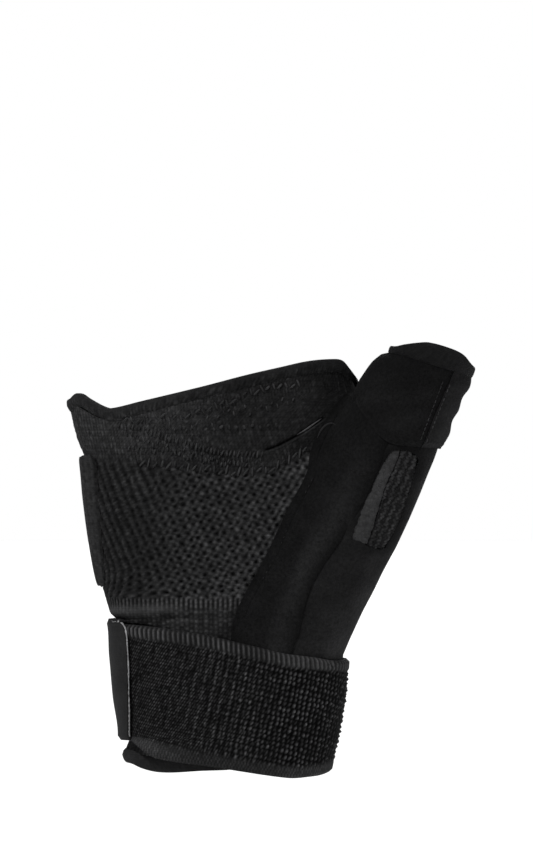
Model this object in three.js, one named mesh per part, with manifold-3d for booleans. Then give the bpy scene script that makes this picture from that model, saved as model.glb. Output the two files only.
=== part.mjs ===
// Thumb spica splint for a right hand, as it is worn: a hollow knitted sleeve for the wrist, palm and
// root of the thumb, with its hems, stay pockets, outer panel and straps. Millimetres, +Z from the
// forearm to the fingers, palm towards -Y, thumb towards +X, origin at the middle of the wrist opening.
import * as THREE from 'three';
import { mergeVertices } from 'three/addons/utils/BufferGeometryUtils.js';
import Module from 'manifold-3d';

const wasm = await Module();
wasm.setup();

// Body
const bodyHeight = 128; // lower strap edge to the top of the finger opening
const palmWidth = 86;
const palmDepth = 36;
const wristWidth = 64;
const wristDepth = 43;

// Thumb
const thumbLength = 100; // along its axis, from its root in the wrist to the opening
const thumbWidth = 24;
const thumbDepth = 27;
const thumbLean = 24; // degrees from upright
const thumbForward = 5; // how much nearer the palm side the thumb's end is than its root

// Fabric
const wall = 1.8;
const gap = 0.3; // between pieces that lie on or beside each other
const panelThickness = 1;
const palmarPocketThickness = 1.4;
const ulnarPocketThickness = 1.7;
const windowKnitThickness = 0.6;
const windowPatchThickness = 0.9;
const thumbStrapThickness = 1.4;
const thumbStrapStep = 0.3; // how far the sewn end stands proud of the strap
const wristStrapThickness = 1.6;
const tabThickness = 1.2;
const hemProud = 0.9;
const palmHemHeight = 4.2;
const cuffHemHeight = 5;
const creaseDepth = 1;
const creaseWidth = 2.2;

// Facets
const handSides = { outside: 36, inside: 24 };
const thumbSides = { outside: 20, inside: 16 };
const ringSpacing = 12;

// Heights of the layers above the sleeve
const panelTop = gap + panelThickness;
const palmarPocketTop = gap + palmarPocketThickness;
const ulnarPocketTop = gap + ulnarPocketThickness;
const thumbStrapTop = panelTop + gap + thumbStrapThickness;
const wristStrapTop = panelTop + gap + wristStrapThickness;
const tabTop = wristStrapTop + gap + tabThickness;

// Sections of the wrist and palm. at is a share of bodyHeight, left and right are shares of the width
// and front and back are shares of the depth of the part named in of, square is the superellipse's
// power, and hollow is the share of the front depth that the middle of the palm sinks by.
const widthOf = { wrist: wristWidth, palm: palmWidth };
const depthOf = { wrist: wristDepth, palm: palmDepth };
const handRows = [
  { at: -0.06, of: 'wrist', left: -0.44, right: 0.41, front: 0.45, back: 0.45, square: 2.1, hollow: 0 },
  { at: 0, of: 'wrist', left: -0.465, right: 0.435, front: 0.47, back: 0.47, square: 2.1, hollow: 0 },
  { at: 0.055, of: 'wrist', left: -0.508, right: 0.456, front: 0.49, back: 0.49, square: 2.1, hollow: 0 },
  { at: 0.094, of: 'wrist', left: -0.471, right: 0.475, front: 0.48, back: 0.48, square: 2.1, hollow: 0 },
  { at: 0.195, of: 'wrist', left: -0.495, right: 0.51, front: 0.5, back: 0.5, square: 2.1, hollow: 0 },
  { at: 0.29, of: 'wrist', left: -0.513, right: 0.522, front: 0.5, back: 0.5, square: 2.15, hollow: 0 },
  { at: 0.381, of: 'wrist', left: -0.528, right: 0.538, front: 0.5, back: 0.47, square: 2.2, hollow: 0 },
  { at: 0.395, of: 'palm', left: -0.425, right: 0.405, front: 0.61, back: 0.55, square: 2.25, hollow: 0 },
  { at: 0.47, of: 'palm', left: -0.46, right: 0.4, front: 0.62, back: 0.5, square: 2.35, hollow: 0.04 },
  { at: 0.57, of: 'palm', left: -0.488, right: 0.38, front: 0.59, back: 0.47, square: 2.45, hollow: 0.09 },
  { at: 0.665, of: 'palm', left: -0.507, right: 0.375, front: 0.54, back: 0.45, square: 2.5, hollow: 0.12 },
  { at: 0.765, of: 'palm', left: -0.523, right: 0.395, front: 0.49, back: 0.43, square: 2.5, hollow: 0.12 },
  { at: 0.81, of: 'palm', left: -0.546, right: 0.42, front: 0.47, back: 0.43, square: 2.5, hollow: 0.1 },
  { at: 0.867, of: 'palm', left: -0.567, right: 0.438, front: 0.46, back: 0.43, square: 2.5, hollow: 0.07 },
  { at: 0.906, of: 'palm', left: -0.579, right: 0.446, front: 0.45, back: 0.43, square: 2.5, hollow: 0.05 },
  { at: 0.953, of: 'palm', left: -0.582, right: 0.448, front: 0.45, back: 0.43, square: 2.5, hollow: 0.04 },
  { at: 1.06, of: 'palm', left: -0.58, right: 0.446, front: 0.45, back: 0.43, square: 2.5, hollow: 0.04 },
];
const hollowMiddle = -0.05; // share of palmWidth
const hollowWidth = 0.22; // share of palmWidth

// Sections of the thumb, square to its axis. at is a share of thumbLength, inner (towards the palm) and
// outer are shares of thumbWidth, and front and back are shares of thumbDepth.
const thumbRows = [
  { at: 0, inner: 0.58, outer: 0.48, front: 0.4, back: 0.33 },
  { at: 0.2, inner: 0.83, outer: 0.483, front: 0.55, back: 0.45 },
  { at: 0.4, inner: 1, outer: 0.525, front: 0.575, back: 0.49 },
  { at: 0.6, inner: 1, outer: 0.538, front: 0.54, back: 0.49 },
  { at: 0.72, inner: 0.79, outer: 0.525, front: 0.5, back: 0.47 },
  { at: 0.8, inner: 0.66, outer: 0.498, front: 0.475, back: 0.455 },
  { at: 0.858, inner: 0.6, outer: 0.475, front: 0.46, back: 0.445 },
  { at: 0.928, inner: 0.54, outer: 0.472, front: 0.45, back: 0.44 },
  { at: 0.975, inner: 0.45, outer: 0.482, front: 0.455, back: 0.45 },
  { at: 1, inner: 0.465, outer: 0.52, front: 0.48, back: 0.47 },
  { at: 1.09, inner: 0.47, outer: 0.53, front: 0.48, back: 0.47 },
];
const thumbRoot = { across: 0.316, deep: -0.09, up: 0.284 }; // of wristWidth, wristDepth, bodyHeight

// Edges of the sleeve as the palm shows them. x is a share of the width and up of bodyHeight.
const palmRim = [
  { x: -0.66, up: 0.88 },
  { x: -0.581, up: 0.909 },
  { x: -0.558, up: 0.921 },
  { x: -0.523, up: 0.908 },
  { x: -0.471, up: 0.89 },
  { x: -0.435, up: 0.885 },
  { x: -0.324, up: 0.902 },
  { x: -0.109, up: 0.936 },
  { x: 0.063, up: 0.965 },
  { x: 0.192, up: 0.984 },
  { x: 0.291, up: 0.998 },
  { x: 0.374, up: 1.003 },
  { x: 0.407, up: 1 },
  { x: 0.431, up: 0.982 },
  { x: 0.47, up: 0.947 },
];
const cuffRim = [
  { x: -0.8, up: 0.047 },
  { x: -0.494, up: 0.031 },
  { x: -0.436, up: 0.0195 },
  { x: -0.375, up: 0.012 },
  { x: -0.3, up: 0.01 },
  { x: -0.147, up: 0.0145 },
  { x: -0.027, up: 0.0165 },
  { x: 0.08, up: 0.02 },
  { x: 0.25, up: 0.014 },
  { x: 0.4375, up: 0.028 },
  { x: 0.53, up: 0.09 },
  { x: 0.8, up: 0.1 },
];
const strapUpperEdge = [
  { x: -0.8, up: 0.385 },
  { x: -0.512, up: 0.37 },
  { x: -0.152, up: 0.344 },
  { x: 0.103, up: 0.315 },
  { x: 0.286, up: 0.294 },
  { x: 0.566, up: 0.284 },
  { x: 0.8, up: 0.281 },
];
const strapLowerEdge = [
  { x: -0.8, up: 0.095 },
  { x: -0.494, up: 0.087 },
  { x: -0.411, up: 0.0625 },
  { x: -0.33, up: 0.046 },
  { x: -0.08, up: 0.027 },
  { x: 0.253, up: 0 },
  { x: 0.345, up: 0.002 },
  { x: 0.431, up: 0.012 },
  { x: 0.484, up: 0.038 },
  { x: 0.531, up: 0.078 },
  { x: 0.8, up: 0.094 },
];

// Outlines on the palm. x is a share of palmWidth and up of bodyHeight.
const palmarPocketInnerEdge = [
  { x: 0.403, up: 0.916 },
  { x: 0.349, up: 0.866 },
  { x: 0.292, up: 0.784 },
  { x: 0.278, up: 0.727 },
  { x: 0.199, up: 0.635 },
  { x: 0.12, up: 0.522 },
  { x: 0.041, up: 0.426 },
  { x: 0.006, up: 0.363 },
  { x: 0.006, up: 0.28 },
];
const palmarPocketOuterEdge = [
  { x: 0.209, up: 0.25 },
  { x: 0.216, up: 0.303 },
  { x: 0.242, up: 0.352 },
  { x: 0.274, up: 0.426 },
  { x: 0.328, up: 0.501 },
  { x: 0.399, up: 0.573 },
  { x: 0.493, up: 0.684 },
  { x: 0.564, up: 0.802 },
];
const palmarPocketUpperEdge = [
  { x: 0.54, up: 0.85 },
  { x: 0.45, up: 0.9 },
];
const ulnarPocketOutline = [
  { x: -0.7, up: 0.755 },
  { x: -0.55, up: 0.762 },
  { x: -0.525, up: 0.779 },
  { x: -0.481, up: 0.77 },
  { x: -0.467, up: 0.628 },
  { x: -0.451, up: 0.488 },
  { x: -0.452, up: 0.448 },
  { x: -0.478, up: 0.468 },
  { x: -0.505, up: 0.493 },
  { x: -0.7, up: 0.56 },
];
const creaseLine = [
  { x: 0.116, up: 0.782 },
  { x: 0.231, up: 0.827 },
  { x: 0.327, up: 0.873 },
  { x: 0.352, up: 0.893 },
];

// Outlines on the thumb. across is a share of thumbWidth, towards the outer side, and along is a share
// of thumbLength.
const thumbRim = [
  { across: -0.85, along: 0.985 },
  { across: -0.504, along: 1 },
  { across: -0.39, along: 1.018 },
  { across: -0.254, along: 1.037 },
  { across: -0.104, along: 1.053 },
  { across: 0.2, along: 1.063 },
  { across: 0.4, along: 1.062 },
  { across: 0.56, along: 1.045 },
  { across: 0.9, along: 1.02 },
];
const thumbHemLine = [
  { across: -0.85, along: 0.962 },
  { across: -0.517, along: 0.979 },
  { across: 0, along: 0.994 },
  { across: 0.41, along: 1.006 },
  { across: 0.9, along: 1.013 },
];
const thumbStrapLowerEdge = [
  { across: -0.733, along: 0.858 },
  { across: -0.68, along: 0.796 },
  { across: -0.417, along: 0.753 },
  { across: -0.0625, along: 0.722 },
  { across: 0.304, along: 0.742 },
  { across: 0.62, along: 0.767 },
  { across: 0.9, along: 0.775 },
];
const strapSeam = [
  { across: 0.32, along: 1.02 },
  { across: 0.37, along: 0.77 },
  { across: 0.37, along: 0.7 },
];
const windowOutline = [
  { across: 0.096, along: 0.712 },
  { across: 0, along: 0.663 },
  { across: 0, along: 0.43 },
  { across: 0.14, along: 0.408 },
  { across: 0.4, along: 0.415 },
  { across: 0.47, along: 0.491 },
  { across: 0.433, along: 0.605 },
  { across: 0.375, along: 0.7 },
  { across: 0.27, along: 0.722 },
];
const windowSplit = [
  { across: 0.14, along: 0.76 },
  { across: 0.135, along: 0.593 },
  { across: 0.21, along: 0.443 },
  { across: 0.19, along: 0.36 },
];

const tabFrontEdge = [
  { x: -0.552, up: 0.4 },
  { x: -0.552, up: 0.385 },
  { x: -0.522, up: 0.359 },
  { x: -0.508, up: 0.279 },
  { x: -0.502, up: 0.161 },
  { x: -0.5, up: 0.06 },
];
const tabBackEnd = 0.1; // share of wristWidth
const tabUpperEdge = 0.381; // shares of bodyHeight
const tabLowerEdge = 0.087;

// Past the pieces that a region cuts, where it has no edge of its own
const panelReach = { outer: 1.2, low: 0, high: 0.8 };
const windowReach = { inner: -0.5, outer: 0.9, low: 0.36, high: 0.76 };
const seamReach = { outer: 1.5, low: 0.7, high: 1.02 };
const farAway = 200; // millimetres

const sharpestCorner = 0.5; // least cosine of half a turn at which an outline moves out square

// A column of a table at any height, on a smooth curve through its rows.
function curveThrough(rows, at, column) {
  let i = 0;
  while (i < rows.length - 2 && rows[i + 1].at < at) i += 1;
  const from = rows[i];
  const to = rows[i + 1];
  const before = rows[Math.max(i - 1, 0)];
  const after = rows[Math.min(i + 2, rows.length - 1)];
  const span = to.at - from.at;
  const t = (at - from.at) / span;
  const slopeFrom = ((to[column] - before[column]) / (to.at - before.at)) * span;
  const slopeTo = ((after[column] - from[column]) / (after.at - from.at)) * span;
  const rise = to[column] - from[column];
  return from[column] + t * (slopeFrom + t * (3 * rise - 2 * slopeFrom - slopeTo
    + t * (slopeFrom + slopeTo - 2 * rise)));
}

const handSections = handRows.map((row) => ({
  at: row.at * bodyHeight,
  left: row.left * widthOf[row.of],
  right: row.right * widthOf[row.of],
  front: row.front * depthOf[row.of],
  back: row.back * depthOf[row.of],
  square: row.square,
  hollow: row.hollow,
}));

const thumbSections = thumbRows.map((row) => ({
  at: row.at * thumbLength,
  inner: row.inner * thumbWidth,
  outer: row.outer * thumbWidth,
  front: row.front * thumbDepth,
  back: row.back * thumbDepth,
}));

const lean = THREE.MathUtils.degToRad(thumbLean);
const thumbStart = new THREE.Vector3(
  thumbRoot.across * wristWidth,
  thumbRoot.deep * wristDepth,
  thumbRoot.up * bodyHeight,
);
const alongThumb = new THREE.Vector3(Math.sin(lean), 0, Math.cos(lean));
const acrossThumb = new THREE.Vector3(Math.cos(lean), 0, -Math.sin(lean));

// A point on the wrist and palm: up is its height, turn its angle round the section and grow its
// distance outside the sleeve's surface.
function handPoint(up, turn, grow) {
  const size = (column) => curveThrough(handSections, up, column);
  const left = size('left') - grow;
  const right = size('right') + grow;
  const power = 2 / size('square');
  const cos = Math.cos(turn);
  const sin = Math.sin(turn);
  const x = (left + right) / 2 + ((right - left) / 2) * Math.sign(cos) * Math.abs(cos) ** power;
  const fromMiddle = (x / palmWidth - hollowMiddle) / hollowWidth;
  const front = size('front') * (1 - size('hollow') * Math.exp(-(fromMiddle ** 2)));
  const depth = (sin < 0 ? front : size('back')) + grow;
  return new THREE.Vector3(x, depth * Math.sign(sin) * Math.abs(sin) ** power, up);
}

// A point on the thumb, in the same way, with up measured along its axis.
function thumbPoint(up, turn, grow) {
  const size = (column) => curveThrough(thumbSections, up, column) + grow;
  const cos = Math.cos(turn);
  const sin = Math.sin(turn);
  const across = cos * (cos < 0 ? size('inner') : size('outer'));
  const depth = sin * (sin < 0 ? size('front') : size('back'));
  return thumbStart.clone()
    .addScaledVector(alongThumb, up)
    .addScaledVector(acrossThumb, across)
    .add(new THREE.Vector3(0, depth - thumbForward * (up / thumbLength), 0));
}

// Heights of the rings of a loft: every section, and more between those that lie far apart.
function ringHeights(sections) {
  const heights = [sections[0].at];
  sections.slice(1).forEach((section, i) => {
    const from = sections[i].at;
    const steps = Math.ceil((section.at - from) / ringSpacing);
    for (let k = 1; k <= steps; k += 1) heights.push(from + ((section.at - from) * k) / steps);
  });
  return heights;
}

function toManifold(geometry) {
  geometry.deleteAttribute('normal');
  geometry.deleteAttribute('uv');
  const merged = mergeVertices(geometry, 1e-5);
  return new wasm.Manifold(new wasm.Mesh({
    numProp: 3,
    vertProperties: Float32Array.from(merged.attributes.position.array),
    triVerts: Uint32Array.from(merged.index.array),
  }));
}

function toGeometry(manifold) {
  const mesh = manifold.getMesh();
  const geometry = new THREE.BufferGeometry();
  geometry.setAttribute('position', new THREE.BufferAttribute(mesh.vertProperties, 3));
  geometry.setIndex(new THREE.BufferAttribute(mesh.triVerts, 1));
  geometry.computeVertexNormals();
  return geometry;
}

// A closed solid through rings of points.
function loft(sections, sides, pointAt, grow) {
  const heights = ringHeights(sections);
  const points = [];
  heights.forEach((up) => {
    for (let i = 0; i < sides; i += 1) points.push(pointAt(up, (i / sides) * 2 * Math.PI, grow));
  });
  const index = [];
  for (let j = 0; j < heights.length - 1; j += 1) {
    for (let i = 0; i < sides; i += 1) {
      const low = j * sides;
      const next = (i + 1) % sides;
      index.push(low + i, low + next, low + sides + next);
      index.push(low + i, low + sides + next, low + sides + i);
    }
  }
  const last = (heights.length - 1) * sides;
  for (let i = 1; i < sides - 1; i += 1) {
    index.push(0, i + 1, i);
    index.push(last, last + i, last + i + 1);
  }
  const geometry = new THREE.BufferGeometry().setFromPoints(points);
  geometry.setIndex(index);
  return toManifold(geometry);
}

const made = new Map();
function remember(key, make) {
  if (!made.has(key)) made.set(key, make());
  return made.get(key);
}
const facing = (grow) => (grow < 0 ? 'inside' : 'outside');
const hand = (grow) => remember(
  `hand ${grow}`,
  () => loft(handSections, handSides[facing(grow)], handPoint, grow),
);
const thumb = (grow) => remember(
  `thumb ${grow}`,
  () => loft(thumbSections, thumbSides[facing(grow)], thumbPoint, grow),
);
const whole = (grow) => remember(`whole ${grow}`, () => hand(grow).add(thumb(grow)));

// Points of an outline, as [x, z].
const onBody = (rows, width, rise = 0) => rows.map((row) => [row.x * width, row.up * bodyHeight + rise]);
const onThumb = (rows, rise = 0) => rows.map((row) => {
  const point = thumbStart.clone()
    .addScaledVector(alongThumb, row.along * thumbLength + rise)
    .addScaledVector(acrossThumb, row.across * thumbWidth);
  return [point.x, point.z];
});
const backwards = (points) => points.slice().reverse();

// The outline moved outwards by a distance.
function grown(outline, distance) {
  const turn = THREE.ShapeUtils.area(outline.map(([x, z]) => new THREE.Vector2(x, z))) > 0 ? 1 : -1;
  const count = outline.length;
  const normal = (i) => {
    const [fromX, fromZ] = outline[(i + count) % count];
    const [toX, toZ] = outline[(i + 1) % count];
    return new THREE.Vector2((toZ - fromZ) * turn, (fromX - toX) * turn).normalize();
  };
  return outline.map(([x, z], i) => {
    const before = normal(i - 1);
    const middle = before.clone().add(normal(i)).normalize();
    const reach = distance / Math.max(middle.dot(before), sharpestCorner);
    return [x + middle.x * reach, z + middle.y * reach];
  });
}

// Everything behind and in front of an outline, or one side of it.
function through(outline, from = -farAway, to = farAway) {
  const shape = new THREE.Shape(outline.map(([x, z]) => new THREE.Vector2(x, z)));
  const geometry = new THREE.ExtrudeGeometry(shape, { depth: to - from, bevelEnabled: false });
  geometry.rotateX(Math.PI / 2);
  geometry.translate(0, to, 0);
  return toManifold(geometry);
}

// Outlines of the pieces in front view
const sleeveOutline = [
  ...onBody(cuffRim, wristWidth, cuffHemHeight + gap),
  ...backwards(onThumb(thumbHemLine, -gap)),
  ...backwards(onBody(palmRim, palmWidth, -palmHemHeight - gap)),
];
const palmHemOutline = [
  ...onBody(palmRim, palmWidth, -palmHemHeight),
  ...backwards(onBody(palmRim, palmWidth)),
];
const cuffHemOutline = [
  ...onBody(cuffRim, wristWidth),
  ...backwards(onBody(cuffRim, wristWidth, cuffHemHeight)),
];
const thumbHemOutline = [...onThumb(thumbHemLine), ...backwards(onThumb(thumbRim))];
const wristStrapOutline = [
  ...onBody(strapLowerEdge, wristWidth),
  ...backwards(onBody(strapUpperEdge, wristWidth)),
];
const palmarPocketOutline = onBody(
  [...palmarPocketInnerEdge, ...palmarPocketOuterEdge, ...palmarPocketUpperEdge],
  palmWidth,
);
const thumbPanelOutline = [
  ...onBody(palmarPocketOuterEdge, palmWidth).map(([x, z]) => [x + 2 * gap, z]),
  ...onThumb([
    { across: 0, along: panelReach.high },
    { across: panelReach.outer, along: panelReach.high },
    { across: panelReach.outer, along: panelReach.low },
  ]),
];
const thumbStrapOutline = [...onThumb(thumbStrapLowerEdge), ...backwards(onThumb(thumbHemLine, -gap))];
const windowPlace = onThumb(windowOutline);
const besideSplit = (across) => onThumb([
  { across, along: windowReach.low },
  { across, along: windowReach.high },
]);
const knitPlace = [...onThumb(windowSplit), ...besideSplit(windowReach.outer)];
const patchPlace = [...onThumb(windowSplit), ...besideSplit(windowReach.inner)];
const crease = [
  ...onBody(creaseLine, palmWidth),
  ...backwards(onBody(creaseLine.slice(1, -1), palmWidth, creaseWidth)),
];

// Between two distances from the sleeve's surface, inside a region
const layer = (form, from, to, region) => form(to).subtract(form(from)).intersect(region);
const frontOnly = (outline) => through(outline, -farAway, thumbStart.y - thumbForward);

const palmarPocketRegion = (extra) => frontOnly(grown(palmarPocketOutline, extra));
const thumbPanelRegion = (extra) => through(grown(thumbPanelOutline, extra));
const windowRegion = (extra) => frontOnly(grown(windowPlace, extra));

// The room that the pieces under a strap take
const underStraps = () => remember('under straps', () => whole(panelTop + gap)
  .intersect(thumbPanelRegion(gap))
  .add(whole(palmarPocketTop + gap).intersect(palmarPocketRegion(gap))));

function palmSleeve() {
  const knit = layer(whole, -wall, 0, through(sleeveOutline));
  return knit.subtract(layer(hand, -creaseDepth, gap, through(crease, -farAway, 0)));
}

const palmHem = () => layer(hand, -wall, hemProud, through(palmHemOutline));
const cuffHem = () => layer(hand, -wall, hemProud, through(cuffHemOutline));
const thumbHem = () => layer(thumb, -wall, hemProud, through(thumbHemOutline));

const ulnarStayPocket = () => layer(
  hand,
  gap,
  ulnarPocketTop,
  through(onBody(ulnarPocketOutline, palmWidth)),
);

const palmarStayPocket = () => layer(whole, gap, palmarPocketTop, palmarPocketRegion(0));

const thumbPanel = () => layer(whole, gap, panelTop, thumbPanelRegion(0)).subtract(windowRegion(0));

const windowKnit = () => layer(whole, gap, gap + windowKnitThickness, windowRegion(-gap))
  .intersect(frontOnly(grown(knitPlace, -gap / 2)));

const windowPatch = () => layer(whole, gap, gap + windowPatchThickness, windowRegion(-gap))
  .intersect(frontOnly(grown(patchPlace, -gap / 2)));

// The whole ring round the thumb, up to a height over the sleeve.
const thumbRing = (top) => thumb(top)
  .subtract(whole(gap))
  .subtract(hand(hemProud + gap))
  .subtract(underStraps())
  .intersect(through(thumbStrapOutline));

// The part of the ring on the outer side of the seam, and a seam along the middle of its back.
const outerSide = (extra) => {
  const { low, high } = seamReach;
  const outer = onThumb([{ across: seamReach.outer, along: low }, { across: seamReach.outer, along: high }]);
  const seam = onThumb(strapSeam);
  const backSeam = onThumb([{ across: 0, along: high }, { across: 0, along: low }]);
  const middle = thumbStart.y - thumbForward;
  return through(grown([...seam, ...outer], extra), -farAway, middle)
    .add(through(grown([...backSeam, ...outer], extra), middle - gap, farAway));
};
const thumbStrap = () => thumbRing(thumbStrapTop).subtract(outerSide(gap));
const thumbStrapEnd = () => thumbRing(thumbStrapTop + thumbStrapStep).intersect(outerSide(0));

const wristStrap = () => whole(wristStrapTop)
  .subtract(whole(gap))
  .subtract(underStraps())
  .subtract(hand(hemProud + gap).intersect(through(grown(cuffHemOutline, gap))))
  .intersect(through(wristStrapOutline));

function strapTab() {
  const lower = tabLowerEdge * bodyHeight;
  const upper = tabUpperEdge * bodyHeight;
  const front = [...onBody(tabFrontEdge, wristWidth), [-farAway, 0], [-farAway, farAway / 2]];
  const end = tabBackEnd * wristWidth;
  const back = [[-farAway, lower], [end, lower], [end, upper], [-farAway, upper]];
  const upAndDown = [[-farAway, lower], [0, lower], [0, upper], [-farAway, upper]];
  const region = through(front, -farAway, 0)
    .intersect(through(upAndDown))
    .add(through(back, -gap, farAway));
  return layer(whole, wristStrapTop + gap, tabTop, region);
}

const fabrics = {
  knit: { color: 0x262628, roughness: 0.95, metalness: 0 },
  smoothCloth: { color: 0x1b1b1d, roughness: 0.9, metalness: 0 },
  strapKnit: { color: 0x222224, roughness: 0.95, metalness: 0 },
  hem: { color: 0x222224, roughness: 0.9, metalness: 0 },
  plush: { color: 0x3a3a3c, roughness: 1, metalness: 0 },
  tabCloth: { color: 0x343437, roughness: 0.85, metalness: 0 },
};

const pieces = [
  { name: 'palm_sleeve', make: palmSleeve, fabric: fabrics.knit },
  { name: 'palm_hem', make: palmHem, fabric: fabrics.hem },
  { name: 'cuff_hem', make: cuffHem, fabric: fabrics.hem },
  { name: 'ulnar_stay_pocket', make: ulnarStayPocket, fabric: fabrics.knit },
  { name: 'palmar_stay_pocket', make: palmarStayPocket, fabric: fabrics.smoothCloth },
  { name: 'thumb_panel', make: thumbPanel, fabric: fabrics.smoothCloth },
  { name: 'window_knit', make: windowKnit, fabric: fabrics.knit },
  { name: 'window_patch', make: windowPatch, fabric: fabrics.plush },
  { name: 'thumb_strap', make: thumbStrap, fabric: fabrics.smoothCloth },
  { name: 'thumb_strap_end', make: thumbStrapEnd, fabric: fabrics.smoothCloth },
  { name: 'thumb_hem', make: thumbHem, fabric: fabrics.hem },
  { name: 'wrist_strap', make: wristStrap, fabric: fabrics.strapKnit },
  { name: 'strap_tab', make: strapTab, fabric: fabrics.tabCloth },
];

const group = new THREE.Group();
pieces.forEach(({ name, make, fabric }) => {
  const mesh = new THREE.Mesh(toGeometry(make()), new THREE.MeshStandardMaterial(fabric));
  mesh.name = name;
  group.add(mesh);
});

export default group;
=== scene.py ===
import math

import bmesh
import bpy
import numpy as np
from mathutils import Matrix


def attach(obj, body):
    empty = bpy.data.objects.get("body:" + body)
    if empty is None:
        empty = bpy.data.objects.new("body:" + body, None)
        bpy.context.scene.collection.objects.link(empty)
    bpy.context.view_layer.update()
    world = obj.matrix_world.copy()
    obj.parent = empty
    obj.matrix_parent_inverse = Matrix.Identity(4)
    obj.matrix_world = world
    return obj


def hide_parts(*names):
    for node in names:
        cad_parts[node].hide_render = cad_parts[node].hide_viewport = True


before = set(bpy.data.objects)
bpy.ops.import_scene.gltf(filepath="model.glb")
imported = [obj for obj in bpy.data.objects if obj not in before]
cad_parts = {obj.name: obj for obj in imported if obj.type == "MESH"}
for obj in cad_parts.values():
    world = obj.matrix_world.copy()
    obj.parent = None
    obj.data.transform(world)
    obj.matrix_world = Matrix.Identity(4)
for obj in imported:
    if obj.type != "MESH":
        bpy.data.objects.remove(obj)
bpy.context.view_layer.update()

# Thumb spica splint: the cloth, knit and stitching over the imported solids, in metres.
# +Z runs from the wrist opening to the finger opening, -Y out of the palm side, +X towards the thumb tube.

mm = 0.001
bpy.ops.object.select_all(action="DESELECT")

# Camera, level with the middle of the photo's frame and square to the palm side
photoFrame = {
    "height": 861,
    "metresPerPixel": 0.308 * mm,
    "middle": (11.1 * mm, 106.4 * mm),  # x and z that the frame is centred on
    "distance": 6,
    "sensor": 36,
}


def addCamera():
    high = photoFrame["height"] * photoFrame["metresPerPixel"]
    x, z = photoFrame["middle"]
    bpy.ops.object.camera_add(location=(x, -photoFrame["distance"], z), rotation=(math.pi / 2, 0, 0))
    camera = bpy.context.object
    camera.data.sensor_width = photoFrame["sensor"]
    camera.data.lens = photoFrame["sensor"] * photoFrame["distance"] / high
    camera.data.clip_end = 100
    bpy.context.scene.camera = camera


addCamera()
print("camera placed")

# The form under the cloth, the same sections as the solids
splint = {
    "bodyHeight": 128 * mm,
    "palmWidth": 86 * mm,
    "palmDepth": 36 * mm,
    "wristWidth": 64 * mm,
    "wristDepth": 43 * mm,
    "thumbLength": 100 * mm,
    "thumbWidth": 24 * mm,
    "thumbDepth": 27 * mm,
    "thumbLean": math.radians(24),
    "thumbForward": 5 * mm,
    "thumbRoot": (0.316, -0.09, 0.284),  # shares of wristWidth, wristDepth and bodyHeight
    "hollowMiddle": -0.05,  # share of palmWidth
    "hollowWidth": 0.22,
    "webBlend": 9 * mm,  # how wide the fold between the tubes is rounded
}
layers = {
    "wall": 1.8 * mm,
    "gap": 0.3 * mm,
    "panel": 1 * mm,
    "palmarPocket": 1.4 * mm,
    "ulnarPocket": 1.7 * mm,
    "windowKnit": 0.6 * mm,
    "windowPatch": 0.9 * mm,
    "thumbStrap": 1.4 * mm,
    "thumbStrapStep": 0.3 * mm,
    "wristStrap": 1.6 * mm,
    "tab": 1.2 * mm,
    "hemProud": 0.9 * mm,
    "palmHemHeight": 4.2 * mm,
    "cuffHemHeight": 5 * mm,
}
panelTop = layers["gap"] + layers["panel"]
palmarPocketTop = layers["gap"] + layers["palmarPocket"]
thumbStrapTop = panelTop + layers["gap"] + layers["thumbStrap"]
wristStrapTop = panelTop + layers["gap"] + layers["wristStrap"]
tabTop = wristStrapTop + layers["gap"] + layers["tab"]

# at, width and depth that the shares are of, left, right, front, back, square, hollow
wrist = (splint["wristWidth"], splint["wristDepth"])
palm = (splint["palmWidth"], splint["palmDepth"])
bodyRows = [
    (-0.06, wrist, -0.44, 0.41, 0.45, 0.45, 2.1, 0),
    (0, wrist, -0.465, 0.435, 0.47, 0.47, 2.1, 0),
    (0.055, wrist, -0.508, 0.456, 0.49, 0.49, 2.1, 0),
    (0.094, wrist, -0.471, 0.475, 0.48, 0.48, 2.1, 0),
    (0.195, wrist, -0.495, 0.51, 0.5, 0.5, 2.1, 0),
    (0.29, wrist, -0.513, 0.522, 0.5, 0.5, 2.15, 0),
    (0.381, wrist, -0.528, 0.538, 0.5, 0.47, 2.2, 0),
    (0.395, palm, -0.425, 0.405, 0.61, 0.55, 2.25, 0),
    (0.47, palm, -0.46, 0.4, 0.62, 0.5, 2.35, 0.04),
    (0.57, palm, -0.488, 0.38, 0.59, 0.47, 2.45, 0.09),
    (0.665, palm, -0.507, 0.375, 0.54, 0.45, 2.5, 0.12),
    (0.765, palm, -0.523, 0.395, 0.49, 0.43, 2.5, 0.12),
    (0.81, palm, -0.546, 0.42, 0.47, 0.43, 2.5, 0.1),
    (0.867, palm, -0.567, 0.438, 0.46, 0.43, 2.5, 0.07),
    (0.906, palm, -0.579, 0.446, 0.45, 0.43, 2.5, 0.05),
    (0.953, palm, -0.582, 0.448, 0.45, 0.43, 2.5, 0.04),
    (1.06, palm, -0.58, 0.446, 0.45, 0.43, 2.5, 0.04),
]
# at, inner, outer, front, back
thumbRows = [
    (0, 0.58, 0.48, 0.4, 0.33),
    (0.2, 0.83, 0.483, 0.55, 0.45),
    (0.4, 1, 0.525, 0.575, 0.49),
    (0.6, 1, 0.538, 0.54, 0.49),
    (0.72, 0.79, 0.525, 0.5, 0.47),
    (0.8, 0.66, 0.498, 0.475, 0.455),
    (0.858, 0.6, 0.475, 0.46, 0.445),
    (0.928, 0.54, 0.472, 0.45, 0.44),
    (0.975, 0.45, 0.482, 0.455, 0.45),
    (1, 0.465, 0.52, 0.48, 0.47),
    (1.09, 0.47, 0.53, 0.48, 0.47),
]

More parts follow.
